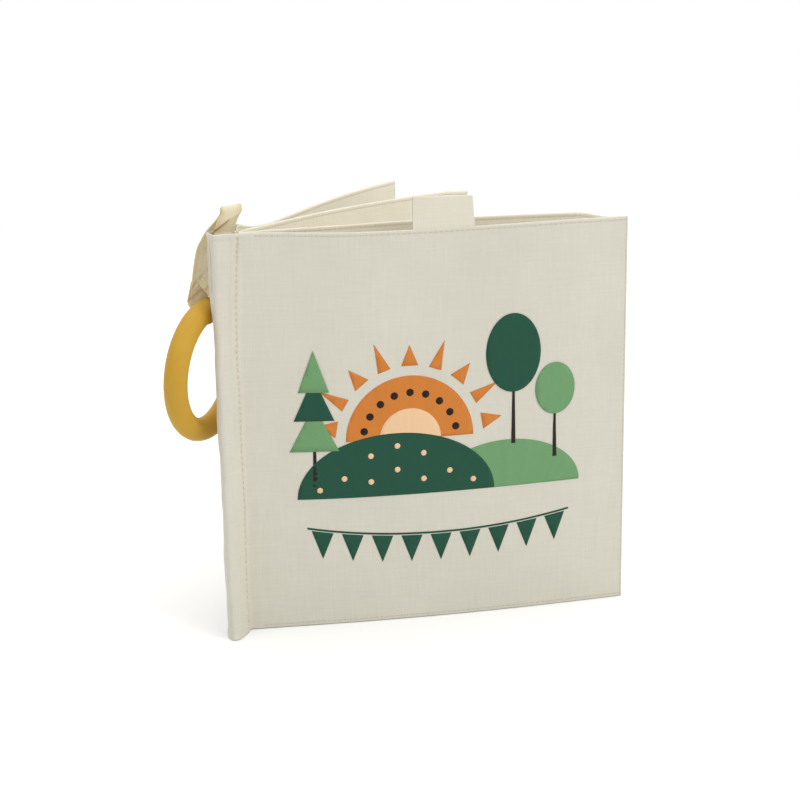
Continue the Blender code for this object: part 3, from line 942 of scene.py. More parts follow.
# %% The spine sleeve
SPINE_DEPTH = 11.5 * MM
SPINE_CLOTH = 0.5 * MM
SPINE_FRONT = np.array([0.20873, -1.3]) * MM
SPINE_BACK = np.array([-0.6, 8.0]) * MM
SPINE_FOOT_SHARE = 0.80
SPINE_BODY_SHARE = 0.70
SPINE_TOP_SHARE = 0.93
SPINE_HEM = 2.3 * MM
FOOT_PLAN = ((-0.27, -0.62), (-0.53, -1.00), (-0.78, -1.06), (-0.86, -0.40), (-0.60, 0.69))
BODY_PLAN = ((-0.44, -0.20), (-0.84, -0.30), (-0.98, -0.13), (-0.93, 0.24), (-0.54, 0.69))
TOP_PLAN = ((-0.44, -0.17), (-0.84, -0.25), (-0.97, -0.10), (-1.03, 0.48), (-0.56, 0.69))
SEAM_PATH = (
    (0, -0.6), (3, -0.6), (13, -0.8), (22, -1.0), (40, -1.0), (59, -0.8), (72, -1.05), (90, -1.5),
    (104, -1.3), (111, -1.4), (122, -2.1), (150, -1.6), (168, -0.8), (177, 0), (180, 0.2),
)
RIPPLES = ((0.22, 95, 5, 1.7), (0.14, 210, -9, 0), (0.07, 520, 21, 0))
END_SINK = 0.55 * MM
PINCH = 0.9 * MM
PINCH_SHARE = 0.56
SLEEVE_RUN = 38 * MM
SPINE_COLUMNS = 84
PINCH_SHADE_LINES = ((21.5, 0.75), (23.0, 0.4))


def along_table(table, at, reach, points):
    """A value read from a table of places, smoothed over a reach."""
    nearby = at + np.linspace(-reach, reach, points)
    return np.mean(np.interp(nearby, [a for a, _ in table], [b for _, b in table]))


def on_spline(points, share):
    """A point on the smooth curve through the points."""
    points = np.asarray(points, float)
    spans = len(points) - 1
    at = np.clip(share, 0, 1) * spans
    start = int(min(at, spans - 1))
    t = at - start
    before = points[start - 1] if start else 2 * points[0] - points[1]
    after = points[start + 2] if start + 2 <= spans else 2 * points[-1] - points[-2]
    weights = (-t + 2 * t**2 - t**3, 2 - 5 * t**2 + 3 * t**3, t + 4 * t**2 - 3 * t**3, t**3 - t**2)
    near = (before, points[start], points[start + 1], after)
    return sum(weight / 2 * point for weight, point in zip(weights, near))


def sleeve_plan(z):
    """The sleeve's plan points at this height."""
    share = z / LEAF_HEIGHT
    foot = max(0, 1 - share / SPINE_FOOT_SHARE) ** 1.3
    top = eased((share - SPINE_BODY_SHARE) / (SPINE_TOP_SHARE - SPINE_BODY_SHARE))
    plans = np.array([FOOT_PLAN, BODY_PLAN, TOP_PLAN]) * SPINE_DEPTH
    middle = plans[0] * foot + plans[1] * (1 - foot - top) + plans[2] * top
    return [SPINE_FRONT, *middle, SPINE_BACK]


def seam_x(z):
    """Where the binding seam runs down the front: it bows a little towards the spine."""
    return along_table(SEAM_PATH, z / MM, 6, 7) * MM


def end_sink(x, z):
    """How deep the sleeve's front end lies under the cloth over the front seam."""
    return END_SINK * eased((x - seam_x(z) + 0.3 * MM) / (1.3 * MM))


def sleeve_sides(share, z):
    """The sleeve's outer and inner place in plan."""
    plan = sleeve_plan(z)
    place = on_spline(plan, share)
    step = on_spline(plan, share + 0.004) - on_spline(plan, share - 0.004)
    normal = np.array([-step[1], step[0]]) / np.hypot(*step)
    from_end = max(min(z, LEAF_HEIGHT - z), 0)
    hem = 0.30 * MM * (from_end < SPINE_HEM + 0.02 * MM) * min(1, (from_end / (0.5 * MM)) ** 0.5 + 0.3)
    groove = 0.22 * MM * bell(from_end - SPINE_HEM, 0.35 * MM)
    free = math.sin(math.pi * share) ** 0.6 if 0 < share < 1 else 0
    waves = [size * math.sin(z * up + share * round_it + start) for size, up, round_it, start in RIPPLES]
    pinched = eased((z - 146 * MM) / (12 * MM)) * eased((178 * MM - z) / (8 * MM))
    ripple = free * sum(waves) * MM - PINCH * pinched * bell(share - PINCH_SHARE, 0.03)
    sink = end_sink(place[0], z) if share < 0.3 else 0
    out = place + normal * (SPINE_CLOTH / 2 + hem - groove + ripple - sink)
    within = place - normal * (SPINE_CLOTH / 2 - ripple + min(sink, 0.25 * MM))
    return out, within


def sleeve_at(x, z):
    """Both sides of a flat point of the sleeve."""
    return [(*side, z) for side in sleeve_sides(x / SLEEVE_RUN, z)]


spine_tree = spine_cloth.node_tree
sleeve_axes = split(spine_tree, flat_place(spine_tree))
# Painted shade: two tan lines down the pinch, high on the sleeve's far side.
in_pinch = near_line(spine_tree, sleeve_axes[1], 165.5 * MM, 12.5 * MM, 9.5 * MM, 0.6)
for centre, reach in PINCH_SHADE_LINES:
    line = near_line(spine_tree, sleeve_axes[0], centre * MM, reach * MM, 0.3 * reach * MM)
    tint(spine_cloth, calc(spine_tree, "MULTIPLY", line, in_pinch), (0.52, 0.41, 0.25))
hem_lines = np.array([0, 0.15, 0.4, 0.9, 1.6, 2.1, 2.3, 2.6, 3.2, 4.4]) * MM
spine_lines = np.concatenate(
    [hem_lines, np.arange(6.4, 174.6, 2.0) * MM, LEAF_HEIGHT - hem_lines[::-1]]
)
sleeve = flat_sheet("spine_sleeve_cloth", np.linspace(0, SLEEVE_RUN, SPINE_COLUMNS + 1), spine_lines)
lay_sheet(sleeve, SPINE_CLOTH, sleeve_at)
dress(sleeve, "spine", spine_cloth, ["spine_sleeve"])
print("sleeve points:", len(sleeve.data.vertices))

# %% [markdown]
# The margins are where the leaves end inside the spine: each is two turned plies pressed
# together. They show at the sleeve's open top, so each gets its parting line between the
# plies and soft edges.

# %% The leaves' margins
PARTING_DEPTH = 0.35 * MM

for leaf in LEAVES:
    low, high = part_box(f"{leaf}_margin")
    start_clean()
    bpy.ops.mesh.primitive_cube_add(size=1, location=(low + high) / 2, scale=high - low)
    margin = new_piece(f"{leaf}_margin_plies")
    middle_y = (low.y + high.y) / 2
    parting = [middle_y + offset * MM for offset in (-0.12, 0, 0.12)]
    cut_piece(margin, [(1, parting), (2, np.arange(6, 176, 6) * MM)])
    points = read_points(margin)
    on_line = abs(points[:, 1] - middle_y) < 0.03 * MM
    points[on_line & (points[:, 2] > high.z - 0.1 * MM), 2] -= PARTING_DEPTH
    points[on_line & (points[:, 0] < low.x + 0.1 * MM), 0] += PARTING_DEPTH
    write_points(margin, points)
    apply_modifier(
        margin, "BEVEL", width=0.18 * MM, segments=3, limit_method="ANGLE", angle_limit=math.radians(60)
    )
    placed = read_points(margin)
    write_uv(margin, placed[:, [0, 2]] + placed[:, [1, 1]])
    finish_faces(margin)
    dress(margin, "spine", margin_cloth, [f"{leaf}_margin"])
print("margins:", len(LEAVES))

# %% [markdown]
# In front, the spine's cloth runs on into the cover's. Where they are sewn together the
# cloth dips into a soft, shallow valley. This narrow strip is that valley. Its long edges
# sink into the cloths on either side.

# %% The cloth over the front seam
VALLEY_DEPTH = 0.48 * MM
VALLEY_WIDTH = 10.4 * MM
SEAM_FROM_EDGE = 3.2 * MM
VALLEY_CLOTH = 0.3 * MM
SEAM_PUCKER = 0.2 * MM
SEAM_STEP = 2.8 * MM
BEND_HALF = 2.0 * MM
VALLEY_SHARES = np.array(
    [0, 0.02, 0.05, 0.1, 0.16, 0.21, 0.25, 0.28, 0.31, 0.35, 0.4, 0.47, 0.56, 0.67, 0.8, 0.9, 0.96, 1]
)
cover_start = FOLDS["front_cover"].x
hinge_cloth = cloth_material("hinge_cloth", COVER_TONE, COVER_HOLLOW_SHADE)
hinge_tree = hinge_cloth.node_tree
across_seam = split(hinge_tree, flat_place(hinge_tree))[0]
# Painted shade: a warm tan band along the floor of the seam's valley.
seam_valley_shade = near_line(hinge_tree, across_seam, SEAM_FROM_EDGE, 1.3 * MM, 0.2 * MM, 0.28)
tint(hinge_cloth, seam_valley_shade, (0.60, 0.50, 0.34))


def cover_out(x, z):
    """How far the cover's face stands out in front at this x."""
    along = max(x - cover_start, 0.3 * MM)
    return -in_leaf("front_cover", along, -face_height(along, z), z)[1]


def valley_profile(z):
    """The strip's x places and how far they stand out in front, at one height."""
    shares = np.linspace(0, 0.3, 25)
    outside = np.array([sleeve_sides(share, z)[0] for share in shares])
    sunk = np.array([end_sink(on_spline(sleeve_plan(z), share)[0], z) for share in shares])
    order = np.argsort(outside[:, 0])
    seam = seam_x(z)
    xs = seam - SEAM_FROM_EDGE + VALLEY_WIDTH * VALLEY_SHARES
    outs = []
    for share, x in zip(VALLEY_SHARES, xs):
        sleeve_out = -np.interp(x, outside[order, 0], outside[order, 1])
        full_out = sleeve_out + np.interp(x, outside[order, 0], sunk[order])
        over = eased((x - seam + 0.2 * MM) / (3.0 * MM))
        out = full_out * (1 - over) + cover_out(x, z) * over
        out -= VALLEY_DEPTH * bell(x - seam, (0.9 if x < seam else 1.8) * MM)
        if x < 0.35 * MM:
            out = max(out, sleeve_out + 0.06 * MM)
        if x > cover_start - 0.1 * MM:
            out = max(out, cover_out(x, z) + 0.04 * MM)
        edge = min(share / 0.05, (1 - share) / 0.04, 1)
        outs.append(out + 0.03 * MM - 0.2 * MM * (1 - edge))
    return xs, np.array(outs)


known_heights = np.concatenate([[0, 0.4], np.arange(2, 179, 2.2), [179.4, 180]]) * MM
known = np.array([valley_profile(z) for z in known_heights])


def valley_at(across, z):
    """Both sides of a flat point of the strip, drawn in where each stitch is."""
    column = int(np.argmin(abs(VALLEY_SHARES - across / VALLEY_WIDTH)))
    x, out = (np.interp(z, known_heights, known[:, part, column]) for part in (0, 1))
    stitch = math.cos(2 * math.pi * (z / SEAM_STEP - 0.9)) * bell(x - seam_x(z), 1.1 * MM)
    out += SEAM_PUCKER * stitch * (1 + 0.8 * eased((z - 166 * MM) / (4 * MM)))
    end_roll = 0.12 * MM * (1 - min(1, max(min(z, LEAF_HEIGHT - z), 0) / (0.4 * MM)))
    return (x, -out + end_roll, z), (x, -out + VALLEY_CLOTH - end_roll, z)


valley_lines = np.concatenate([[0, 0.4], np.arange(1.1, 179.2, 0.7), [179.6, 180]]) * MM
valley = flat_sheet("front_hinge_cloth", VALLEY_WIDTH * VALLEY_SHARES, valley_lines)
lay_sheet(valley, VALLEY_CLOTH, valley_at)
bend = [(cover_start + offset, 0, LEAF_HEIGHT / 2) for offset in (-BEND_HALF, BEND_HALF)]
dress(valley, "spine", hinge_cloth, bends_to=("front_cover", *bend))
print("hinge cloth points:", len(valley.data.vertices))

# %% [markdown]
# The binding seam runs down the valley between the spine and the front cover, and again
# behind. Its stitches are longer and heavier than the top-stitching, and at the top the
# machine ran back and forth, so the stitches lie double there.

# %% The binding seam
SEAM_LENGTH = 2.1 * MM
SEAM_THREAD = 0.8 * MM
TACK_THREAD = 1.0 * MM
SEAM_SINK = 0.08 * MM


def in_valley(z, shift=0.0):
    """A place on the valley's floor at this height."""
    xs, outs = valley_profile(z)
    x = seam_x(z) + shift
    return (x, -np.interp(x, xs, outs), z)


heights = np.arange(2.5 * MM, LEAF_HEIGHT - 2 * MM, SEAM_STEP)
tack = np.arange(LEAF_HEIGHT - 12 * MM, LEAF_HEIGHT - 1.2 * MM, SEAM_STEP * 0.72)
for name, places, outward, slant, thread in (
    ("front_binding_seam", [in_valley(z) for z in heights], (0.1, -1), 0, SEAM_THREAD),
    ("front_back_tack", [in_valley(z, 0.12 * MM) for z in tack], (0.1, -1), 0.14, TACK_THREAD),
    ("back_binding_seam", [(-0.75 * MM, 7.35 * MM, z) for z in heights], (0.3, 1), 0, SEAM_THREAD),
):
    line, normal = (np.repeat([way], len(places), 0) for way in ((slant, 0, 1), (*outward, 0)))
    dress(sew(name, places, line, normal, SEAM_LENGTH, thread, SEAM_SINK), "spine", seam_thread)
print("stitches in the front seam:", len(heights) + len(tack))

# %% [markdown]
# The tape comes up out of the spine, leans towards the pages, turns over and hangs down
# behind. It is one strip, so it is one piece here. The real tape bends between the spine
# and the swinging part when the ring is lifted.

# %% The tape's way
TAPE_WIDTH = 9.0 * MM
TAPE_THICKNESS = 1.0 * MM
TAB_FOOT = LEAF_HEIGHT - 12 * MM
FOLD_HEIGHT = LEAF_HEIGHT + 8.5 * MM
FOLD_RADIUS = 2.1 * MM
FOLD_TILT = math.radians(8)
FOLD_X = -1.2 * MM
TAB_Y = 5.15 * MM
BAND_Y = TAB_Y + 2 * FOLD_RADIUS
TAB_WAY = ((168, -5.2), (180, -4.7), (183, -4.0), (185.5, -3.1), (188.5, -1.2))
BAND_WAY = (
    (0, 0), (0.07, 0.05), (0.13, 0.16), (0.18, 0.30), (0.25, 0.46), (0.31, 0.57), (0.38, 0.68), (0.45, 0.77),
    (0.6, 0.87), (0.76, 0.93), (1, 1), (1.2, 1.05),
)
RING_TUBE = 5.2 * MM
RING_RADIUS = 32.5 * MM - RING_TUBE
RING_CENTRE = Vector((-12.7, 15.9, 117.7)) * MM
RING_TURN = math.radians(52.4)
RING_LEAN = math.radians(4.8)
LOOP_LEAN = math.radians(22)
NECK_REACH = RING_TUBE + 6.0 * MM

level = Vector((1, 0, 0))
upright = Vector((0, 0, 1))
RING_ALONG = Vector((math.cos(RING_TURN), math.sin(RING_TURN), 0))
RING_AXIS = Vector((RING_ALONG.y, -RING_ALONG.x, 0))
RING_UP = upright * math.cos(RING_LEAN) + RING_AXIS * math.sin(RING_LEAN)
LOOP_UP = upright * math.cos(LOOP_LEAN) - RING_AXIS * math.sin(LOOP_LEAN)
LOOP_OUT = RING_AXIS * math.cos(LOOP_LEAN) + upright * math.sin(LOOP_LEAN)
RING_TOP = RING_CENTRE + RING_UP * RING_RADIUS
NECK = RING_TOP + LOOP_UP * NECK_REACH
TAB_RUN = FOLD_HEIGHT - TAB_FOOT
FOLD_END = TAB_RUN + math.pi * FOLD_RADIUS
BAND_START = Vector((FOLD_X, BAND_Y, FOLD_HEIGHT))
BAND_RUN = (NECK - BAND_START).length
TAPE_RUN = FOLD_END + BAND_RUN


def tape_middle(run):
    """The tape's middle line at this distance from its sewn foot."""
    if run <= TAB_RUN:
        height = TAB_FOOT + run
        free = (height - LEAF_HEIGHT) / (FOLD_HEIGHT - LEAF_HEIGHT)
        sway = 0.4 * MM * math.sin(math.pi * max(free, 0))
        reach = min(1.2, max(FOLD_HEIGHT - height, 0) / MM)
        return Vector((along_table(TAB_WAY, height / MM, reach, 9) * MM, TAB_Y - sway, height))
    if run <= FOLD_END:
        angle = (run - TAB_RUN) / FOLD_RADIUS
        round_fold = Vector((0, 1 - math.cos(angle), math.sin(angle))) * FOLD_RADIUS
        return Vector((FOLD_X, TAB_Y, FOLD_HEIGHT)) + round_fold
    share = (run - FOLD_END) / BAND_RUN
    at = BAND_START.lerp(NECK, share)
    at.x = BAND_START.x + (NECK.x - BAND_START.x) * along_table(BAND_WAY, share, min(0.07, share), 9)
    return at


print("the tape is", round(TAPE_RUN / MM, 1), "mm long from foot to loop")

# %% [markdown]
# The tape's own material: the cream of the cover's cloth, tan towards its two edges, and
# painted shade in warm brown along its two sharp creases: one above the spine, where it
# doubles back, and one above the ring. A crease is a line between two places. It is given
# by its x and z at both ends, its width, how far back it reaches and its strength.

# %% The tape's cloth
CREASE_SHADE_LINES = (
    ((-8.6, 180.6), (-1.4, 185.9), 0.95, 7.5, 0.9),
    ((-18.5, 149.6), (-9.2, 156.4), 1.5, 30, 0.5),
)
EDGE_TAN = (0.70, 0.57, 0.32)
CREASE_SHADE_BROWN = (0.56, 0.28, 0.09)

tape_tree = strap_cloth.node_tree
tape_across = split(tape_tree, flat_place(tape_tree))[1]
from_edge = calc(tape_tree, "MINIMUM", tape_across, calc(tape_tree, "SUBTRACT", TAPE_WIDTH, tape_across))
tint(strap_cloth, ramp(tape_tree, from_edge, 2.6 * MM, 0.3 * MM, 0, 0.75, "SMOOTHSTEP"), EDGE_TAN)
place = split(tape_tree, solid_place(tape_tree))
# Painted shade: warm brown along each crease line, on the tape's near side only.
for start, end, width, far_y, strength in CREASE_SHADE_LINES:
    slope = (end[1] - start[1]) / (end[0] - start[0])
    rise = calc(tape_tree, "MULTIPLY_ADD", place[0], slope, (start[1] - slope * start[0]) * MM)
    on_line = near_line(tape_tree, place[2], rise, width * MM, 0.1 * MM)
    fades = ramp(tape_tree, place[0], end[0] * MM, (end[0] - 2.5) * MM)
    nearer = calc(tape_tree, "LESS_THAN", place[1], far_y * MM)
    shown = calc(tape_tree, "MULTIPLY", nearer, strength)
    crease = calc(tape_tree, "MULTIPLY", calc(tape_tree, "MULTIPLY", on_line, fades), shown)
    tint(strap_cloth, crease, CREASE_SHADE_BROWN)
print("tape creases:", len(CREASE_SHADE_LINES))

# %% [markdown]
# The strip is a flat sheet laid along its way. Its edges are turned in and stitched, so
# they are thicker than the middle. The crease above the spine is a small step, the tape
# buckles softly where it turns down, and its lower end is cut on the slant.


# %% Lay the tape
def tape_at(run, across):
    """Both sides of a flat point of the tape."""
    off = across - TAPE_WIDTH / 2
    hang = max(run - FOLD_END, 0)
    to_end = TAPE_RUN - run
    free = min(hang / (6 * MM), 1)

    slant = (2.0 * MM - off / TAPE_WIDTH * 5.0 * MM) * eased(1 - to_end / (16 * MM))
    at_run = run + slant
    way = tape_middle(at_run + 0.4 * MM) - tape_middle(max(at_run - 0.4 * MM, 0))
    tilt = FOLD_TILT * bell(run - (TAB_RUN + FOLD_END) / 2, 7 * MM)
    wide = level * math.cos(tilt) + upright * math.sin(tilt)
    normal = way.cross(wide).normalized()

    inside = min(across, TAPE_WIDTH - across)
    welt = 0.09 * MM * bell(inside - 0.75 * MM, 0.5 * MM)
    groove = 0.10 * MM * bell(inside - 1.5 * MM, 0.3 * MM)
    thin = 1 - 0.35 * eased(1 - to_end / (8 * MM))
    half = TAPE_THICKNESS / 2 * thin + welt - groove
    half *= rounded(inside / (0.45 * MM), 0.02) * rounded(to_end / (0.6 * MM), 0.05)

    below_crease = (12.4 * MM + 0.77 * across - run) / (0.5 * MM)
    step_back = 0.9 * MM * eased(below_crease + 0.5) * eased((run - 10 * MM) / (2 * MM))
    bend = hang - 15 * MM - 0.15 * off
    buckle = 0.55 * MM * bell(bend, 1.5 * MM) - 0.40 * MM * bell(bend - 4.0 * MM, 3.0 * MM)
    hollow = 0.35 * MM * bell(off, 2.2 * MM) * eased(hang / (12 * MM))
    lower_crease = 0.45 * MM * bell(1.5 * MM + 0.9 * across - to_end, 1.0 * MM)
    soft = 0.12 * MM * math.sin(run * 330 + across * 260)
    shift = step_back - hollow + (buckle - lower_crease + soft) * free
    narrow = 1 - 0.06 * eased(hang / (24 * MM))
    at = tape_middle(at_run) + wide * (off * narrow) + normal * shift
    return at + normal * half, at - normal * half


lines_width = np.array(
    [0, 0.15, 0.4, 0.8, 1.2, 1.7, 2.4, 3.2, 4.0, 5.0, 5.8, 6.6, 7.3, 7.8, 8.2, 8.6, 8.85, 9]
) * MM
tape = flat_sheet("strap_tape_strip", np.linspace(0, TAPE_RUN, 151), lines_width)
lay_sheet(tape, TAPE_THICKNESS, tape_at, 55)
hinge_y = BAND_Y + TAPE_THICKNESS / 2
bend = [(0, hinge_y - before, FOLD_HEIGHT) for before in (2.6 * MM, 0.6 * MM)]
dress(tape, "spine", strap_cloth, ["strap_tab", "strap_band"], ("strap", *bend))
print("tape points:", len(tape.data.vertices))

# %% [markdown]
# The loop comes out from under the tape's slanted end. Its back run hangs flat behind the
# ring, turns to lie along the ring's tube, goes under it, and its front run climbs to the
# tape again behind the spine. Points that would sink into the tube are pushed out of it.

# %% The loop round the ring
LOOP_CLOTH = 0.5 * MM
LOOP_RADIUS = RING_TUBE + 0.30 * MM + LOOP_CLOTH / 2
LOOP_WIDTH = 8.8 * MM
LOOP_GAP = 0.08 * MM
spread = math.acos(LOOP_RADIUS / NECK_REACH)
arc = LOOP_RADIUS * (2 * math.pi - 2 * spread)


def round_tube(angle):
    """A place round the ring's tube, from the loop's own upright."""
    return RING_TOP + LOOP_OUT * (LOOP_RADIUS * math.sin(angle)) + LOOP_UP * (LOOP_RADIUS * math.cos(angle))


back_top = NECK + Vector((0, 0.55, 1.0)) * MM
back_foot = round_tube(-spread)
front_foot = round_tube(spread)
front_top = tape_middle(TAPE_RUN - 4 * MM) + Vector((1.2, 0.1, 0)) * MM
back_run = (back_foot - back_top).length
front_run = (front_top - front_foot).length
LOOP_RUN = back_run + arc + front_run


def loop_middle(run):
    """The loop's middle line, from under the tape, round the tube and up again."""
    if run < back_run:
        return back_top.lerp(back_foot, run / back_run)
    if run > back_run + arc:
        return front_foot.lerp(front_top, (run - back_run - arc) / front_run)
    return round_tube(-spread - (run - back_run) / LOOP_RADIUS)


def out_of_tube(at, least):
    """The place, pushed out of the ring's tube where it lies inside it."""
    from_centre = at - RING_CENTRE
    normal = RING_ALONG.cross(RING_UP)
    in_plane = from_centre - normal * from_centre.dot(normal)
    line = RING_CENTRE + in_plane.normalized() * RING_RADIUS
    away = at - line
    return line + away.normalized() * least if away.length < least else at


def loop_at(run, across):
    """Both sides of a flat point of the loop."""
    way = loop_middle(min(run + 0.3 * MM, LOOP_RUN)) - loop_middle(max(run - 0.3 * MM, 0))
    climbed = run - back_run - arc
    turned = eased((run - back_run + 2.5 * MM) / (5 * MM))
    turned *= 1 - eased((climbed - 2 * MM) / (front_run - 2 * MM))
    normal = level.lerp(RING_ALONG, turned).cross(way).normalized()
    wide = way.cross(normal).normalized()
    off = across - LOOP_WIDTH / 2
    gather = 0.12 * MM * math.sin(off / MM * 1.9 + run / MM * 0.45)
    edge = rounded(min(across, LOOP_WIDTH - across) / (0.4 * MM), 0.03)
    drop = RING_UP * (off * off / (2 * RING_RADIUS)) * turned
    narrow = 1 - 0.4 * eased(climbed / front_run)
    aside = 0.9 * MM * eased(run / back_run) * (1 - turned)
    middle = loop_middle(run) + wide * (off * narrow - aside) + normal * gather - drop
    half = normal * (LOOP_CLOTH / 2 * edge)
    clear = RING_TUBE + LOOP_GAP
    return out_of_tube(middle + half, clear + LOOP_CLOTH * edge), out_of_tube(middle - half, clear)


loop_width = np.array([0, 0.15, 0.4, 0.9, 1.5, 2.2, 3.0, 3.8, 4.6, 5.4, 6.2, 7.0, 7.7, 8.3, 8.6, 8.8]) * MM
loop = flat_sheet("strap_loop_strip", np.linspace(0, LOOP_RUN, 109), loop_width)
lay_sheet(loop, LOOP_CLOTH, loop_at, 55)
bend = [NECK + upright * MM, NECK - upright * 4.0 * MM]
dress(loop, "strap", strap_cloth, ["strap_loop"], ("strap_loop", *bend))
print("loop run in mm:", round(LOOP_RUN / MM, 1))

# %% [markdown]
# The ring is moulded in one soft piece. A torus gives the round tube. Where the two
# halves of the mould met, a hair-thin ridge runs round the inside and the outside.

# %% The ring
RIDGE_HEIGHT = 0.07 * MM
RIDGE_WIDTH = 0.25 * MM
RING_LIGHT = (0.63, 0.375, 0.055)
RING_DARK = (0.54, 0.305, 0.028)

start_clean()
bpy.ops.mesh.primitive_torus_add(
    major_radius=RING_RADIUS, minor_radius=RING_TUBE, major_segments=144, minor_segments=48
)
ring = bpy.context.object
points = read_points(ring)
from_axis = np.hypot(points[:, 0], points[:, 1])
ridge = RIDGE_HEIGHT * bell(points[:, 2], RIDGE_WIDTH) * np.sign(from_axis - RING_RADIUS)
points[:, :2] *= (1 + ridge / from_axis)[:, None]
write_points(ring, points)
ring.rotation_euler = (math.pi / 2 + RING_LEAN, 0, RING_TURN)
ring.location = RING_CENTRE
new_piece("teether_ring_moulded")
bpy.ops.object.shade_smooth()

ring_finish, ring_tree, ring_shader = plain_material("ring_silicone", RING_LIGHT, 0.5)
ring_place = solid_place(ring_tree)
cloud = noise(ring_tree, ring_place, 70.0, 4.0)
feed(
    ring_shader, Base_Color=mix_colour(ring_tree, cloud, (*RING_DARK, 1), (*RING_LIGHT, 1)),
    Roughness=ramp(ring_tree, cloud, 0.3, 0.7, 0.42, 0.58), Specular_IOR_Level=0.16,
    Subsurface_Weight=0.1, Subsurface_Radius=(0.006, 0.003, 0.001),
)
raise_relief(ring_shader, noise(ring_tree, ring_place, 1500.0, 2.0), 0.12, 0.05 * MM)
dress(ring, "teether_ring", ring_finish, ["teether_ring"])
print("ring faces:", len(ring.data.polygons))

# %% [markdown]
# The label is a tape folded in two, with both ends sewn into the cover's top hem. Its
# fold is at the top. The foot stays in the seam while the rest tips forwards or backwards.

# %% The label
LABEL_WIDTH = 28 * MM
LABEL_HEIGHT = 13 * MM
LABEL_START = 76.5 * MM - FOLDS["front_cover"].x
LABEL_PLY = 0.26 * MM
LABEL_RADIUS = 0.34 * MM
LABEL_TUCK = 1.2 * MM
LABEL_STRAIGHT = LABEL_HEIGHT + LABEL_TUCK - LABEL_RADIUS
LABEL_RUN = 2 * LABEL_STRAIGHT + math.pi * LABEL_RADIUS


def label_at(across, run):
    """Both sides of a flat point of the label: up the front, round the fold, down the back."""
    places = []
    for side in (1, -1):
        reach = LABEL_RADIUS + side * LABEL_PLY / 2
        angle = np.clip((run - LABEL_STRAIGHT) / LABEL_RADIUS, 0, math.pi)
        behind = -reach * math.cos(angle)
        rise = min(run, LABEL_RUN - run, LABEL_STRAIGHT) + reach * math.sin(angle) - LABEL_TUCK
        behind *= 0.32 + 0.68 * eased((rise + LABEL_TUCK) / (2.4 * MM))
        curl = 0.5 * MM * (rise / LABEL_HEIGHT) ** 2 * math.sin(across * 190 + 0.6)
        risen, crossed = max(rise, 0) / LABEL_HEIGHT, across / LABEL_WIDTH
        along = LABEL_START + across - 1.0 * MM * risen * crossed
        foot = in_leaf("front_cover", along, behind - curl, LEAF_HEIGHT)
        places.append((foot[0], foot[1], foot[2] + rise + (1.5 - 1.0 * crossed) * MM * risen))
    return places


label = flat_sheet("care_label_tape", np.linspace(0, LABEL_WIDTH, 43), np.linspace(0, LABEL_RUN, 61))
lay_sheet(label, LABEL_PLY, label_at, 55)
foot = Vector(in_leaf("front_cover", LABEL_START + LABEL_WIDTH / 2, 0, LEAF_HEIGHT))
bend = [foot + upright * 0.1 * MM, foot + upright * 1.4 * MM]
dress(label, "front_cover", label_cloth, ["care_label"], ("care_label", *bend))
print("label height in mm:", round(LABEL_HEIGHT / MM, 1))

# %% [markdown]
# The cover carries a print in flat ink: a sunrise over two hills with simple trees, and a
# string of pennants below. Each colour is one thin skin laid on the cloth. An outline is
# filled, cut every few millimetres, and every point is put down on the ply's own surface.

# %% Lay down one colour of ink
INK_CELL = 3.0
INK_THICKNESS = 0.03 * MM
INK_LIFT = 0.10 * MM
INK_STEP = 0.05 * MM


def ink_paint(name, colour):
    """Flat ink, in the same kind of material as the cloth below it."""
    return cloth_material(name, colour, tuple(0.82 * c for c in colour), bump=0.2, sheen=0.08)


def ink(name, outlines, level, paint):
    """A skin of ink from outlines in millimetres on the cover; level is its order."""
    curve = bpy.data.curves.new(name, "CURVE")
    curve.dimensions = "2D"
    curve.fill_mode = "BOTH"
    for outline in outlines:
        path = curve.splines.new("POLY")
        path.points.add(len(outline) - 1)
        path.use_cyclic_u = True
        for point, (x, z) in zip(path.points, outline):
            point.co = (x, z, 0, 1)
    skin = bpy.data.objects.new(name, curve)
    bpy.context.scene.collection.objects.link(skin)
    pick(skin)
    bpy.ops.object.convert(target="MESH")
    skin = bpy.context.object
    corners = read_points(skin)
    low, high = corners.min(0), corners.max(0)
    cut_piece(skin, [(axis, np.arange(low[axis] + INK_CELL, high[axis], INK_CELL)) for axis in (0, 1)])
    flat = read_points(skin)
    x = flat[:, 0] * MM - FOLDS["front_cover"].x
    z = flat[:, 1] * MM
    write_points(skin, in_leaf("front_cover", x, -face_height(x, z) - INK_LIFT - INK_STEP * level, z))
    skin.data.shade_smooth()
    apply_modifier(skin, "SOLIDIFY", thickness=INK_THICKNESS, offset=0)
    dress(skin, "front_cover", paint)


def disc(x, z, radius, wide=1.0, start=0, end=360, steps=48):
    """A round outline, or a part of one."""
    angles = np.radians(np.linspace(start, end, steps, endpoint=end - start < 360))
    return [(x + radius * wide * math.cos(a), z + radius * math.sin(a)) for a in angles]


print("ink cell in mm:", INK_CELL)

# %% [markdown]
# The picture: round, plain shapes of warm orange, two greens, cream and a near-black.

# %% The print
orange_ink = ink_paint("orange_ink", (0.665, 0.225, 0.042))
dark_green_ink = ink_paint("dark_green_ink", (0.020, 0.088, 0.054))
green_ink = ink_paint("green_ink", (0.175, 0.355, 0.162))
cream_ink = ink_paint("cream_ink", (0.90, 0.60, 0.36))
black_ink = ink_paint("black_ink", (0.024, 0.016, 0.013))

SUN = np.array([74, 86])
RAYS = 9
RAY_FOOT = 33.5
GROUND = 60
HILL_DOTS = (
    (44, 69), (56, 67), (56, 79), (68, 72), (68, 83), (80, 67), (80, 79), (92, 70), (33, 64), (103, 65),
)
TRUNKS = ((122, 80, 115), (142, 72, 98), (31, 66, 92))
FIR_TIERS = ((82, 103, 11, green_ink), (96, 116, 9, dark_green_ink), (109, 128, 6.8, green_ink))

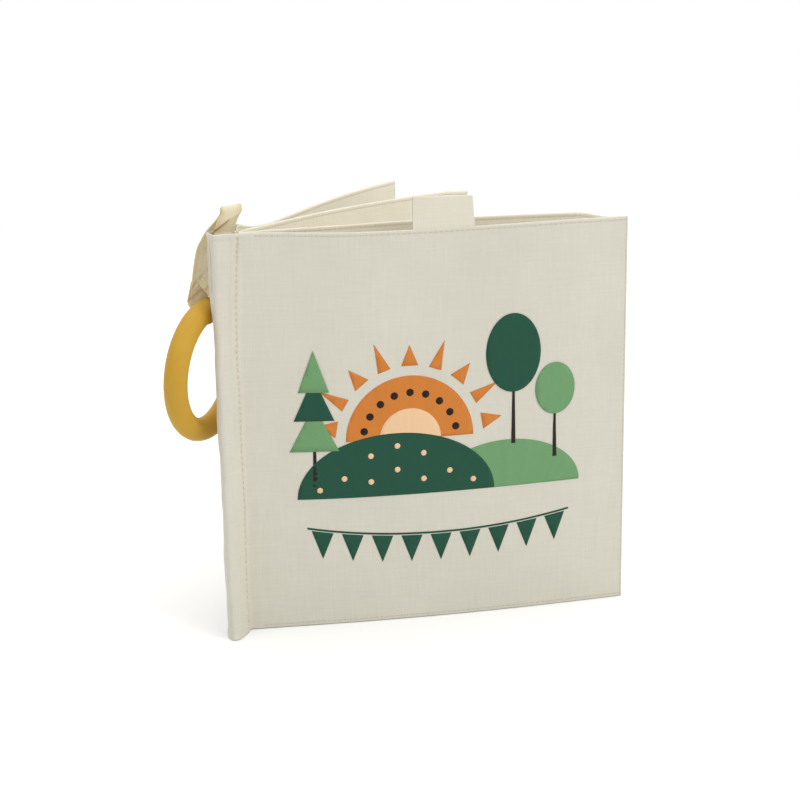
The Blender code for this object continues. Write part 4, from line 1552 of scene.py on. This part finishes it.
sun_shapes = [disc(*SUN, 29, end=180)]
for number in range(RAYS):
    angle = math.radians(10 + number * 20)
    half, tip = ((3.9, 43), (3.0, 47))[number % 2]
    along = np.array([math.cos(angle), math.sin(angle)])
    aside = np.array([-along[1], along[0]])
    corners = ((RAY_FOOT, -half), (tip, 0), (RAY_FOOT, half))
    sun_shapes.append([SUN + along * r + aside * w for r, w in corners])
ink("print_sun", sun_shapes, 0, orange_ink)
ink("print_sun_heart", [disc(*SUN, 14, end=180)], 1, cream_ink)
seed_angles = np.radians(np.arange(12, 170, 19.5))
seeds = [disc(SUN[0] + 21.3 * math.cos(a), SUN[1] + 21.3 * math.sin(a), 1.7) for a in seed_angles]
ink("print_sun_dots", seeds, 1, black_ink)


def hill(left, right, x, radius, wide, steps):
    """A low mound that stands on the ground between its two ends."""
    rounded_top = disc(x, GROUND, radius, wide=wide, start=180, end=0, steps=steps)[1:-1]
    return [(left, GROUND), *rounded_top, (right, GROUND)]


ink("print_far_hill", [hill(84, 154, 119, 22, 1.6, 50)], 1, green_ink)
ink("print_near_hill", [hill(23, 113, 68, 29, 1.55, 60)], 2, dark_green_ink)
ink("print_hill_dots", [disc(x, z, 1.3, steps=20) for x, z in HILL_DOTS], 3, cream_ink)
trunks = [[(x - 1, low), (x + 1, low), (x + 0.4, high), (x - 0.4, high)] for x, low, high in TRUNKS]
ink("print_trunks", trunks, 2, black_ink)
ink("print_round_tree", [disc(122, 122, 18, wide=0.72)], 3, dark_green_ink)
ink("print_small_tree", [disc(142, 104, 12, wide=0.8)], 3, green_ink)
for number, (low, high, half, paint) in enumerate(FIR_TIERS):
    ink(f"print_fir_{number + 1}", [[(31 - half, low), (31 + half, low), (31, high)]], 3 + number, paint)
print("picture shapes laid down")

# %% [markdown]
# Below hangs a string of pennants in dark green, as tall and as wide as a line of large
# print would be. The string sags between its two ends.

# %% The pennants
PENNANTS = 9
STRING_ENDS = (27, 149)
STRING_HEIGHT = 46.5
STRING_SAG = 5.5
STRING_HALF = 0.45
PENNANT_HALF = 4.9
PENNANT_DROP = 13.5


def string_height(x):
    """The string's height on the cover, in millimetres."""
    share = (x - STRING_ENDS[0]) / (STRING_ENDS[1] - STRING_ENDS[0])
    return STRING_HEIGHT - STRING_SAG * 4 * share * (1 - share)


string_x = np.linspace(*STRING_ENDS, 60)
upper = [(x, string_height(x) + STRING_HALF) for x in string_x]
lower = [(x, string_height(x) - STRING_HALF) for x in string_x]
flags = []
spacing = (STRING_ENDS[1] - STRING_ENDS[0]) / PENNANTS
for number in range(PENNANTS):
    middle = STRING_ENDS[0] + spacing * (number + 0.5)
    corners = ((middle - PENNANT_HALF, 0.9), (middle + PENNANT_HALF, 0.9), (middle, PENNANT_DROP))
    flags.append([(x, string_height(x) - drop) for x, drop in corners])
ink("print_string", [upper + lower[::-1]], 0, dark_green_ink)
ink("print_pennants", flags, 0, dark_green_ink)
print("pennants:", len(flags))
